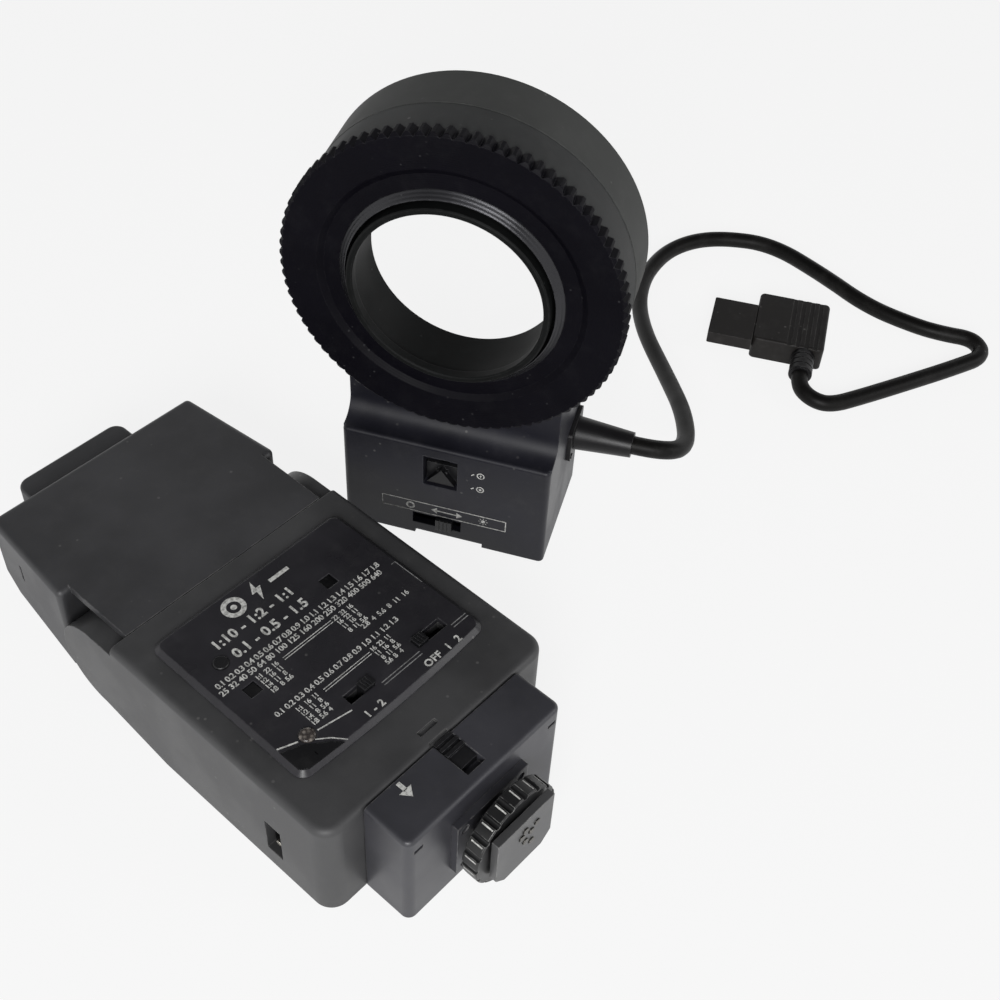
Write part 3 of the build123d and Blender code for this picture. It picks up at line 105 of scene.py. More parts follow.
# Finishes
PATCH_CONTRAST = 0.16
BRUSH_STRETCH = (1.0, 1.0, 14.0)
ACRYLIC_IOR = 1.49
DUST_COLOUR = (0.32, 0.31, 0.3, 1.0)
CELL_MIDDLE_Y, SLEEVE_HALF = -0.0157, 0.0196    # the sleeve on each battery cell

# Printing
PRINT_LIFT = 0.03 * MM
PRINT_DEPTH = 0.02 * MM
RULE_WIDTH = 0.28
CAPITAL_SHARE = 0.7     # height of a figure against the size of its face


def rgb(red, green, blue):
    """A colour given in sRGB bytes, as linear values."""
    channels = [c / 255 for c in (red, green, blue)]
    return [c / 12.92 if c <= 0.04045 else ((c + 0.055) / 1.055) ** 2.4 for c in channels] + [1.0]


def shade(colour, share, lift=0.0):
    """A linear colour made lighter or darker by a share, and lifted."""
    return [min(1.0, c * share + lift) for c in colour[:3]] + [1.0]


# Shader node helpers

def node(tree, kind, **settings):
    """A node with its properties set."""
    made = tree.nodes.new(kind)
    for name, value in settings.items():
        setattr(made, name, value)
    return made


def feed(tree, target, socket, source):
    """Set an input to a value, or link an output to it."""
    if isinstance(source, bpy.types.NodeSocket):
        tree.links.new(source, target.inputs[socket])
    else:
        target.inputs[socket].default_value = source


def maths(tree, operation, a, b=0.0, clamp=False):
    made = node(tree, "ShaderNodeMath", operation=operation, use_clamp=clamp)
    feed(tree, made, 0, a)
    feed(tree, made, 1, b)
    return made.outputs[0]


def blend_colour(tree, amount, first, second):
    made = node(tree, "ShaderNodeMix", data_type="RGBA", blend_type="MIX")
    feed(tree, made, 0, amount)
    feed(tree, made, 6, first)
    feed(tree, made, 7, second)
    return made.outputs[2]


def ramp(tree, value, low, high, to_low=0.0, to_high=1.0):
    """Spread a value between two limits."""
    made = node(tree, "ShaderNodeMapRange", interpolation_type="SMOOTHSTEP")
    for socket, source in enumerate((value, low, high, to_low, to_high)):
        feed(tree, made, socket, source)
    return made.outputs[0]


def noise(tree, where, scale, detail=3.0, rough=0.55):
    made = node(tree, "ShaderNodeTexNoise")
    feed(tree, made, "Vector", where)
    feed(tree, made, "Scale", scale)
    feed(tree, made, "Detail", detail)
    feed(tree, made, "Roughness", rough)
    return made.outputs["Fac"]


def new_group(name, inputs, outputs):
    """An empty shader node group with its sockets: pairs of name and kind, or value."""
    tree = bpy.data.node_groups.new(name, "ShaderNodeTree")
    for label, value in inputs:
        kind = "NodeSocketVector" if value == "vector" else "NodeSocketFloat"
        socket = tree.interface.new_socket(label, in_out="INPUT", socket_type=kind)
        if kind == "NodeSocketFloat":
            socket.default_value = value
    for label, kind in outputs:
        tree.interface.new_socket(label, in_out="OUTPUT", socket_type=kind)
    return tree, tree.nodes.new("NodeGroupInput"), tree.nodes.new("NodeGroupOutput")


def grain_group():
    """Spark-eroded grain of a moulding: fine height, and broad soft patches."""
    tree, given, out = new_group(
        "Moulded grain", [("Grain per metre", 2600.0), ("Patches per metre", 45.0)],
        [("Height", "NodeSocketFloat"), ("Patches", "NodeSocketFloat")])
    where = node(tree, "ShaderNodeTexCoord").outputs["Object"]
    fine = noise(tree, where, given.outputs[0], 4.0, 0.6)
    finer = noise(tree, where, maths(tree, "MULTIPLY", given.outputs[0], 2.7), 2.0)
    feed(tree, out, 0, maths(tree, "ADD", fine, maths(tree, "MULTIPLY", finer, 0.5)))
    feed(tree, out, 1, ramp(tree, noise(tree, where, given.outputs[1], 3.0), 0.3, 0.7))
    return tree


def edge_group():
    """Rounds sharp edges a little, and finds the edges to lighten: worn by hands, and a painted
    highlight where the edges catch the light.
    """
    tree, given, out = new_group(
        "Worn and highlighted edges", [("Width", 0.0004), ("Rub", 0.5)],
        [("Normal", "NodeSocketVector"), ("Mask", "NodeSocketFloat")])
    soft = node(tree, "ShaderNodeBevel", samples=6)
    feed(tree, soft, "Radius", given.outputs[0])
    plain = node(tree, "ShaderNodeNewGeometry").outputs["Normal"]
    facing = node(tree, "ShaderNodeVectorMath", operation="DOT_PRODUCT")
    feed(tree, facing, 0, soft.outputs[0])
    feed(tree, facing, 1, plain)
    turn = ramp(tree, maths(tree, "SUBTRACT", 1.0, facing.outputs["Value"]), 0.004, 0.12)
    where = node(tree, "ShaderNodeTexCoord").outputs["Object"]
    broken = ramp(tree, noise(tree, where, 420.0, 4.0, 0.65), 0.38, 0.62)
    rub = maths(tree, "MULTIPLY", turn, maths(tree, "MULTIPLY", broken, given.outputs[1]), True)
    feed(tree, out, 0, soft.outputs[0])
    feed(tree, out, 1, rub)
    return tree


def dust_group():
    """Small specks of dust and short fine hairs lying on a surface."""
    tree, given, out = new_group(
        "Dust specks", [("Specks per metre", 260.0), ("Amount", 0.4)],
        [("Mask", "NodeSocketFloat")])
    where = node(tree, "ShaderNodeTexCoord").outputs["Object"]
    cells = node(tree, "ShaderNodeTexVoronoi", feature="F1")
    feed(tree, cells, "Vector", where)
    feed(tree, cells, "Scale", given.outputs[0])
    speck = ramp(tree, cells.outputs["Distance"], 0.06, 0.13, 1.0, 0.0)
    some = ramp(tree, noise(tree, where, 60.0, 2.0), 0.5, 0.66)
    haze = ramp(tree, noise(tree, where, 150.0, 5.0, 0.7), 0.45, 0.8, 0.0, 0.12)
    mask = maths(tree, "ADD", maths(tree, "MULTIPLY", speck, some), haze)
    feed(tree, out, 0, maths(tree, "MULTIPLY", mask, given.outputs[1], True))
    return tree


def turning_group():
    """Fine concentric tool marks round the ring head's axis."""
    tree, given, out = new_group(
        "Turned rings", [("Rings per metre", 1500.0)], [("Height", "NodeSocketFloat")])
    where = node(tree, "ShaderNodeTexCoord").outputs["Object"]
    centre = HEAD_ORIGIN + Vector((0, 0, RING_HEIGHT))
    moved = node(tree, "ShaderNodeVectorMath", operation="SUBTRACT")
    feed(tree, moved, 0, where)
    feed(tree, moved, 1, centre)
    along = node(tree, "ShaderNodeVectorMath", operation="DOT_PRODUCT")
    feed(tree, along, 0, moved.outputs[0])
    feed(tree, along, 1, (-sin(HEAD_TURN), cos(HEAD_TURN), 0.0))
    reach = node(tree, "ShaderNodeVectorMath", operation="LENGTH")
    feed(tree, reach, 0, moved.outputs[0])
    square = maths(tree, "SUBTRACT", maths(tree, "POWER", reach.outputs["Value"], 2.0),
                   maths(tree, "POWER", along.outputs["Value"], 2.0))
    radius = maths(tree, "SQRT", maths(tree, "MAXIMUM", square, 0.0))
    wave = maths(tree, "SINE", maths(tree, "MULTIPLY", radius, maths(
        tree, "MULTIPLY", given.outputs[0], 2 * pi)))
    feed(tree, out, 0, wave)
    return tree


GRAIN, EDGES, DUST, TURNED = grain_group(), edge_group(), dust_group(), turning_group()


def group(tree, shared, **values):
    """A shared effect placed in a material with its own values."""
    made = node(tree, "ShaderNodeGroup", node_tree=shared)
    for name, value in values.items():
        made.inputs[name.replace("_", " ").capitalize()].default_value = value
    return made


def blank(name):
    """A material with only its shader and output."""
    made = bpy.data.materials.new(name)
    made.use_nodes = True
    shader = made.node_tree.nodes["Principled BSDF"]
    return made, made.node_tree, shader


def finish_surface(tree, shader, colour, rough, height, strength, distance, normal):
    """Join colour, roughness and bump to the shader."""
    feed(tree, shader, "Base Color", colour)
    feed(tree, shader, "Roughness", rough)
    bump = node(tree, "ShaderNodeBump")
    feed(tree, bump, "Strength", strength)
    feed(tree, bump, "Distance", distance)
    feed(tree, bump, "Height", height)
    feed(tree, bump, "Normal", normal)
    feed(tree, shader, "Normal", bump.outputs[0])


def moulded(name, colour, rough=0.5, shine=0.5, grain=2600.0, depth=0.03, rub=0.5, edge_wear_and_highlight_colour=None,
            dust=0.25, edge=0.0004):
    """Moulded plastic with grain, soft patches of shine, lightened edges (wear, and painted highlight)
    and a little dust.
    """
    made, tree, shader = blank(name)
    shader.inputs["Specular IOR Level"].default_value = shine
    grains = group(tree, GRAIN, grain_per_metre=grain)
    edges = group(tree, EDGES, width=edge, rub=rub)
    specks = group(tree, DUST, amount=dust)
    lighter, darker = shade(colour, 1 + 1.2 * PATCH_CONTRAST), shade(colour, 1 - PATCH_CONTRAST)
    # Edge colour: worn edges, and a painted highlight where the edges catch the light.
    worn_and_lit_edge = edge_wear_and_highlight_colour or shade(colour, 2.2, 0.012)
    skin = blend_colour(tree, grains.outputs["Patches"], darker, lighter)
    skin = blend_colour(tree, edges.outputs["Mask"], skin, worn_and_lit_edge)
    skin = blend_colour(tree, specks.outputs["Mask"], skin, DUST_COLOUR)
    duller = ramp(tree, grains.outputs["Patches"], 0.0, 1.0, rough - 0.05, rough + 0.06)
    duller = maths(tree, "SUBTRACT", duller, maths(tree, "MULTIPLY", edges.outputs["Mask"], 0.12))
    finish_surface(tree, shader, skin, duller, grains.outputs["Height"], 0.5, depth * MM,
                   edges.outputs["Normal"])
    return made


def turned_part(name, colour, rough, shine, rings, depth, metal=0.0, rub=0.4):
    """A piece with concentric tool marks round the ring's axis."""
    made, tree, shader = blank(name)
    shader.inputs["Specular IOR Level"].default_value = shine
    shader.inputs["Metallic"].default_value = metal
    marks = group(tree, TURNED, rings_per_metre=rings)
    grains = group(tree, GRAIN, grain_per_metre=3200.0)
    edges = group(tree, EDGES, width=0.00035, rub=rub)
    specks = group(tree, DUST, specks_per_metre=340.0, amount=0.1)
    skin = blend_colour(tree, grains.outputs["Patches"], colour, shade(colour, 1.25))
    # Lighter edges: wear, and a painted highlight along them.
    skin = blend_colour(tree, edges.outputs["Mask"], skin, shade(colour, 2.0, 0.03))
    skin = blend_colour(tree, specks.outputs["Mask"], skin, (0.3, 0.3, 0.31, 1.0))
    duller = ramp(tree, grains.outputs["Patches"], 0.0, 1.0, rough - 0.06, rough + 0.05)
    height = maths(tree, "ADD", maths(tree, "MULTIPLY", marks.outputs["Height"], 0.6),
                   grains.outputs["Height"])
    finish_surface(tree, shader, skin, duller, height, 0.45, depth * MM, edges.outputs["Normal"])
    return made


def metal_part(name, colour, rough, brushed=900.0):
    """Bare or plated metal with fine brush lines and dull patches."""
    made, tree, shader = blank(name)
    shader.inputs["Metallic"].default_value = 1.0
    where = node(tree, "ShaderNodeTexCoord").outputs["Object"]
    pulled = node(tree, "ShaderNodeVectorMath", operation="MULTIPLY")
    feed(tree, pulled, 0, where)
    feed(tree, pulled, 1, BRUSH_STRETCH)
    lines = noise(tree, pulled.outputs[0], brushed, 3.0, 0.6)
    grains = group(tree, GRAIN, patches_per_metre=160.0)
    edges = group(tree, EDGES, width=0.0002, rub=0.4)
    dulled = maths(tree, "MULTIPLY", grains.outputs["Patches"], 0.6)
    skin = blend_colour(tree, dulled, colour, shade(colour, 0.72))
    skin = blend_colour(tree, edges.outputs["Mask"], skin, shade(colour, 1.2))
    duller = ramp(tree, lines, 0.3, 0.7, rough - 0.07, rough + 0.1)
    finish_surface(tree, shader, skin, duller, lines, 0.3, 0.01 * MM, edges.outputs["Normal"])
    return made


def clear_part(name, colour, rough, clearness):
    """Clear or frosted plastic or glass, with a faint haze."""
    made, tree, shader = blank(name)
    shader.inputs["Transmission Weight"].default_value = clearness
    shader.inputs["IOR"].default_value = ACRYLIC_IOR
    grains = group(tree, GRAIN, grain_per_metre=1800.0, patches_per_metre=90.0)
    edges = group(tree, EDGES, width=0.00025, rub=0.2)
    skin = blend_colour(tree, grains.outputs["Patches"], shade(colour, 0.9), colour)
    duller = ramp(tree, grains.outputs["Patches"], 0.0, 1.0, max(0.02, rough - 0.03), rough + 0.05)
    finish_surface(tree, shader, skin, duller, grains.outputs["Height"], 0.2, 0.01 * MM,
                   edges.outputs["Normal"])
    return made


def printed_ink(name, colour):
    """Screen-printed ink, slightly thin and worn in places."""
    made, tree, shader = blank(name)
    where = node(tree, "ShaderNodeTexCoord").outputs["Object"]
    thin = ramp(tree, noise(tree, where, 900.0, 4.0, 0.7), 0.35, 0.6)
    skin = blend_colour(tree, thin, shade(colour, 0.45), colour)
    feed(tree, shader, "Base Color", skin)
    feed(tree, shader, "Roughness", ramp(tree, thin, 0.0, 1.0, 0.62, 0.5))
    shader.inputs["Specular IOR Level"].default_value = 0.3
    return made


def jewel(name):
    """Faceted clear lamp jewel: an uneven amber-grey lens."""
    made, tree, shader = blank(name)
    shader.inputs["Transmission Weight"].default_value = 0.55
    shader.inputs["IOR"].default_value = 1.5
    where = node(tree, "ShaderNodeTexCoord").outputs["Object"]
    cells = node(tree, "ShaderNodeTexVoronoi", feature="F1")
    feed(tree, cells, "Vector", where)
    feed(tree, cells, "Scale", 900.0)
    skin = blend_colour(tree, ramp(tree, cells.outputs["Distance"], 0.1, 0.6),
                        rgb(200, 190, 180), rgb(92, 84, 80))
    edges = group(tree, EDGES, width=0.0003, rub=0.2)
    rough = ramp(tree, cells.outputs["Distance"], 0.0, 0.7, 0.12, 0.3)
    finish_surface(tree, shader, skin, rough, cells.outputs["Distance"], 0.7, 0.25 * MM,
                   edges.outputs["Normal"])
    return made


def circuit_board(name):
    """Green lacquered board with copper tracks under the lacquer."""
    made, tree, shader = blank(name)
    where = node(tree, "ShaderNodeTexCoord").outputs["Object"]
    tracks = node(tree, "ShaderNodeTexBrick")
    feed(tree, tracks, "Vector", where)
    feed(tree, tracks, "Scale", 160.0)
    feed(tree, tracks, "Mortar Size", 0.03)
    on_track = ramp(tree, tracks.outputs["Fac"], 0.3, 0.7)
    edges = group(tree, EDGES, width=0.0002, rub=0.5)
    skin = blend_colour(tree, on_track, rgb(24, 72, 44), rgb(46, 104, 62))
    skin = blend_colour(tree, edges.outputs["Mask"], skin, rgb(150, 140, 96))
    rough = ramp(tree, on_track, 0.0, 1.0, 0.42, 0.3)
    finish_surface(tree, shader, skin, rough, on_track, 0.4, 0.05 * MM, edges.outputs["Normal"])
    return made


def wound_tape(name):
    """Yellow tape round a transformer, with its overlaps."""
    made, tree, shader = blank(name)
    where = node(tree, "ShaderNodeTexCoord").outputs["Object"]
    laps = node(tree, "ShaderNodeTexWave", wave_type="BANDS", bands_direction="Z")
    feed(tree, laps, "Vector", where)
    feed(tree, laps, "Scale", 130.0)
    feed(tree, laps, "Distortion", 0.6)
    edges = group(tree, EDGES, width=0.0004, rub=0.3)
    skin = blend_colour(tree, laps.outputs["Fac"], rgb(158, 128, 40), rgb(204, 172, 74))
    rough = ramp(tree, laps.outputs["Fac"], 0.0, 1.0, 0.3, 0.45)
    finish_surface(tree, shader, skin, rough, laps.outputs["Fac"], 0.4, 0.1 * MM,
                   edges.outputs["Normal"])
    return made


def cell_sleeve(name):
    """Plain sleeved cell: a shrunk sleeve over a steel can."""
    made, tree, shader = blank(name)
    where = node(tree, "ShaderNodeTexCoord").outputs["Object"]
    split = node(tree, "ShaderNodeSeparateXYZ")
    feed(tree, split, 0, where)
    off_middle = maths(tree, "ABSOLUTE", maths(tree, "SUBTRACT", split.outputs["Y"], CELL_MIDDLE_Y))
    band = ramp(tree, off_middle, SLEEVE_HALF, SLEEVE_HALF + 0.3 * MM)
    grains = group(tree, GRAIN, patches_per_metre=200.0)
    edges = group(tree, EDGES, width=0.0004, rub=0.4)
    skin = blend_colour(tree, band, rgb(58, 62, 70), rgb(150, 152, 156))
    skin = blend_colour(tree, maths(tree, "MULTIPLY", grains.outputs["Patches"], 0.2), skin,
                        rgb(30, 32, 36))
    feed(tree, shader, "Metallic", maths(tree, "MULTIPLY", band, 0.9))
    finish_surface(tree, shader, skin, ramp(tree, band, 0.0, 1.0, 0.38, 0.28),
                   grains.outputs["Height"], 0.25, 0.02 * MM, edges.outputs["Normal"])
    return made


# Finishes of this object's pieces
# The edge colours and edge amounts below lighten the edges: wear, and a painted highlight (strongest
# on the module and the lock wheel).
PACK_GREY, PACK_EDGE_WEAR_AND_HIGHLIGHT = rgb(62, 62, 63), rgb(120, 119, 117)
FINISHES = {
    "pack_plastic": moulded("pack_plastic", PACK_GREY, 0.46, 0.5, 2400.0, 0.035, 0.5, PACK_EDGE_WEAR_AND_HIGHLIGHT),
    "head_plastic": moulded("head_plastic", rgb(58, 58, 60), 0.48, 0.5, 2400.0, 0.035, 0.5, PACK_EDGE_WEAR_AND_HIGHLIGHT),
    "module_plastic": moulded("module_plastic", rgb(55, 55, 60), 0.4, 0.55, 2800.0, 0.03, 0.9,
                              PACK_EDGE_WEAR_AND_HIGHLIGHT),
    "panel_black": moulded("panel_black", rgb(42, 41, 45), 0.32, 0.4, 5200.0, 0.012, 0.5,
                           rgb(104, 104, 106), 0.3),
    "window_black": moulded("window_black", rgb(12, 12, 13), 0.14, 0.5, 3000.0, 0.004, 0.2),
    "gloss_black": moulded("gloss_black", rgb(14, 14, 16), 0.16, 0.5, 3000.0, 0.004, 0.2),
    "knob_black": moulded("knob_black", rgb(20, 20, 22), 0.36, 0.4, 3600.0, 0.012, 0.7,
                          rgb(90, 90, 92), 0.2, 0.0002),
    "socket_black": moulded("socket_black", rgb(16, 16, 17), 0.5, 0.3, 3000.0, 0.015, 0.3),
    "foot_grey": moulded("foot_grey", rgb(70, 70, 71), 0.38, 0.6, 3200.0, 0.02, 0.8,
                         rgb(160, 160, 158), 0.3, 0.0003),
    "wheel_black": moulded("wheel_black", rgb(22, 22, 23), 0.36, 0.5, 3200.0, 0.02, 0.9,
                           rgb(150, 150, 148), 0.2, 0.0003),
    "drum_grey": moulded("drum_grey", rgb(70, 71, 70), 0.6, 0.14, 2800.0, 0.03, 0.4,
                         rgb(100, 100, 98), 0.25),
    "drum_rear_grey": moulded("drum_rear_grey", rgb(60, 61, 61), 0.58, 0.14, 2800.0, 0.03, 0.4,
                              rgb(104, 104, 101), 0.25),
    "box_plastic": moulded("box_plastic", rgb(28, 28, 35), 0.42, 0.32, 2800.0, 0.03, 0.5,
                           rgb(86, 88, 96), 0.25),
    "cord_rubber": moulded("cord_rubber", rgb(11, 10, 9), 0.46, 0.16, 1500.0, 0.03, 0.1,
                           rgb(60, 58, 56), 0.3, 0.0001),
    "relief_rubber": moulded("relief_rubber", rgb(16, 15, 17), 0.38, 0.3, 1800.0, 0.03, 0.5,
                             rgb(70, 70, 70), 0.2, 0.0003),
    "plug_plastic": moulded("plug_plastic", rgb(29, 27, 26), 0.46, 0.2, 2600.0, 0.025, 0.6,
                            rgb(84, 82, 80), 0.35),
    "capacitor_sleeve": moulded("capacitor_sleeve", rgb(30, 32, 52), 0.3, 0.5, 2000.0, 0.01, 0.3),
    "ring_black": turned_part("ring_black", rgb(7, 6, 12), 0.54, 0.08, 1700.0, 0.02, rub=0.9),
    "thread_black": turned_part("thread_black", rgb(44, 44, 47), 0.3, 0.6, 1400.0, 0.05, 0.6, 0.8),
    "bore_black": turned_part("bore_black", rgb(17, 18, 18), 0.55, 0.1, 900.0, 0.03, 0.0, 0.6),
    "nickel": metal_part("nickel", rgb(205, 200, 190), 0.24),
    "steel": metal_part("steel", rgb(180, 180, 182), 0.3),
    "dull_contact": metal_part("dull_contact", rgb(96, 94, 90), 0.34),
    "gold": metal_part("gold", rgb(214, 178, 104), 0.22),
    "bright_reflector": metal_part("bright_reflector", rgb(225, 226, 228), 0.14, 500.0),
    "frosted_diffuser": clear_part("frosted_diffuser", rgb(238, 239, 240), 0.38, 0.45),
    "flash_glass": clear_part("flash_glass", rgb(240, 243, 247), 0.06, 0.85),
    "lamp_jewel": jewel("lamp_jewel"),
    "lamp_glow": clear_part("lamp_glow", rgb(226, 150, 96), 0.12, 0.5),
    "board_green": circuit_board("board_green"),
    "winding_tape": wound_tape("winding_tape"),
    "cell_can": cell_sleeve("cell_can"),
    "white_ink": printed_ink("white_ink", rgb(226, 226, 222)),
    "grey_ink": printed_ink("grey_ink", rgb(150, 150, 150)),
}

WORN_BY = {
    "pack_plastic": ("body_shell", "base_cover", "battery_door"),
    "head_plastic": ("head_shell", "head_cover", "end_cap"),
    "module_plastic": ("module_case", "foot_bracket"),
    "panel_black": ("control_panel",),
    "window_black": ("panel_windows",),
    "knob_black": ("test_button", "mode_knob", "power_knob", "release_slider", "selector_knob",
                   "well_slider"),
    "socket_black": ("socket_housing", "head_socket", "pack_connector", "mode_switch",
                     "power_switch", "module_connector"),
    "foot_grey": ("shoe_foot",),
    "wheel_black": ("lock_wheel",),
    "drum_grey": ("drum_cover",),
    "drum_rear_grey": ("ring_housing",),
    "box_plastic": ("box_shell", "box_cover"),
    "relief_rubber": ("strain_relief", "plug_boot", "cord_gland"),
    "plug_plastic": ("plug_body", "plug_nose"),
    "capacitor_sleeve": ("capacitor",),
    "ring_black": ("knurled_ring",),
    "thread_black": ("thread_ring",),
    "bore_black": ("bore_tube",),
    "nickel": ("battery_contacts", "socket_pins"),
    "steel": ("cover_screws", "pivot_pins", "hinge_arms"),
    "gold": ("plug_pins",),
    "dull_contact": ("foot_contacts",),
    "bright_reflector": ("ring_reflector", "point_reflector"),
    "frosted_diffuser": ("ring_diffuser", "point_window"),
    "flash_glass": ("ring_tube", "point_tube"),
    "lamp_jewel": ("ready_lamp",),
    "lamp_glow": ("lamp_bulb",),
    "board_green": ("main_board", "trigger_board"),
    "winding_tape": ("transformer",),
    "cell_can": ("battery_cells",),
}


def dress_nodes():
    """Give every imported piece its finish."""
    for finish_name, names in WORN_BY.items():
        for name in names:
            piece = frame["nodes"][name]
            if not piece.material_slots:
                piece.data.materials.append(None)
            for held in piece.material_slots:
                held.material = FINISHES[finish_name]


# Cord

def placed(origin, turn, local):
    """A point of a turned frame, in metres."""
    x, y, z = (c * MM for c in local)
    return origin + Vector((cos(turn) * x - sin(turn) * y, sin(turn) * x + cos(turn) * y, z))


def lay_cord():
    """The cord from the box's strain relief to the plug's boot."""
    across, depth, height = RELIEF_END
    along, side, boot_height = BOOT_END
    start = placed(HEAD_ORIGIN, HEAD_TURN, RELIEF_END)
    end = placed(PLUG_ORIGIN, PLUG_TURN, BOOT_END)
    route = [start, placed(HEAD_ORIGIN, HEAD_TURN, (across + RELIEF_LEAD, depth, height))]
    route += [Vector(point) * MM for point in CORD_ROUTE]
    route += [placed(PLUG_ORIGIN, PLUG_TURN, (along, side - BOOT_LEAD, boot_height)), end]
    curve = bpy.data.curves.new("flash_cord", "CURVE")
    curve.dimensions = "3D"
    curve.bevel_depth = CORD_WIDTH / 2 * MM
    curve.bevel_resolution = 6
    curve.resolution_u = 16
    curve.use_fill_caps = True
    line = curve.splines.new("NURBS")
    line.points.add(len(route) - 1)
    for spot, point in zip(line.points, route):
        spot.co = (*point, 1.0)
    line.order_u = 3
    line.use_endpoint_u = True
    cord = bpy.data.objects.new("flash_cord", curve)
    bpy.context.collection.objects.link(cord)
    curve.materials.append(FINISHES["cord_rubber"])
    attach(cord, "ring_head")
    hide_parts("cord")


# Printing, and painted highlights on the lock wheel

class Print:
    """Thin raised ink on a flat face: strips, polygons, rings and figures, joined in one mesh."""

    def __init__(self, face):
        self.face, self.points, self.faces = face, [], []

    def outline(self, corners):
        """A closed polygon given anticlockwise in millimetres, raised by the ink's depth."""
        first, count = len(self.points), len(corners)
        for depth in (0.0, PRINT_DEPTH):
            for x, y in corners:
                self.points.append(self.face @ Vector((x * MM, y * MM, PRINT_LIFT + depth)))
        self.faces.append([first + count + i for i in range(count)])
        self.faces.append([first + i for i in reversed(range(count))])
        for i in range(count):
            j = (i + 1) % count
            self.faces.append([first + i, first + j, first + count + j, first + count + i])

    def rule(self, start, end, width=RULE_WIDTH):
        """A straight strip."""
        a, b = Vector(start), Vector(end)
        side = (b - a).normalized().orthogonal() * width / 2
        self.outline([a - side, b - side, b + side, a + side])

    def chain(self, points, width=RULE_WIDTH):
        """Strips from point to point."""
        for a, b in zip(points, points[1:]):
            self.rule(a, b, width)

    def ring(self, centre, outer, inner, parts=40):
        for i in range(parts):
            a, b = (2 * pi * k / parts for k in (i, i + 1))
            self.outline([(centre[0] + r * cos(t), centre[1] + r * sin(t))
                          for r, t in ((inner, a), (outer, a), (outer, b), (inner, b))])

    def dot(self, centre, radius, parts=28):
        self.outline([(centre[0] + radius * cos(2 * pi * k / parts),
                       centre[1] + radius * sin(2 * pi * k / parts)) for k in range(parts)])

    def bolt(self, centre, size):
        """A flash sign."""
        shape = ((0.15, 1.0), (-0.5, -0.1), (-0.08, -0.1), (-0.2, -1.0), (0.5, 0.22), (0.08, 0.22))
        self.outline([(centre[0] + x * size, centre[1] + y * size) for x, y in shape])

    def figures(self, text, spot, height, spacing=1.0, weight=0.012):
        """Figures in the plain built-in face, standing on a baseline that starts at spot."""
        words = bpy.data.curves.new("figures", "FONT")
        words.body, words.size = text, height / CAPITAL_SHARE * MM
        words.space_character = spacing
        words.offset = height * weight * MM
        words.extrude = PRINT_DEPTH / 2
        words.resolution_u = 3
        carrier = bpy.data.objects.new("figures", words)
        mesh = bpy.data.meshes.new_from_object(carrier)
        first = len(self.points)
        shift = Vector((spot[0] * MM, spot[1] * MM, PRINT_LIFT + PRINT_DEPTH / 2))
        self.points += [self.face @ (v.co + shift) for v in mesh.vertices]
        self.faces += [[first + v for v in p.vertices] for p in mesh.polygons]
        for leftover, store in ((carrier, bpy.data.objects), (words, bpy.data.curves),
                                (mesh, bpy.data.meshes)):
            store.remove(leftover)

    def done(self, name, body, ink="white_ink"):
        """Make the mesh and let it ride on its body."""
        mesh = bpy.data.meshes.new(name)
        mesh.from_pydata(self.points, [], self.faces)
        mesh.materials.append(FINISHES[ink])
        piece = bpy.data.objects.new(name, mesh)
        bpy.context.collection.objects.link(piece)
        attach(piece, body)


def face_up(height):
    """The frame of a level face."""
    return Matrix.Translation((0, 0, height))


def face_back(depth):
    """The frame of a face that looks back from the ring head: x across, y up."""
    place = placed(HEAD_ORIGIN, HEAD_TURN, (0, depth, 0))
    across = Vector((cos(HEAD_TURN), sin(HEAD_TURN), 0))
    up = Vector((0, 0, 1))
    turn = Matrix((across, up, across.cross(up))).transposed().to_4x4()
    return Matrix.Translation(place) @ turn


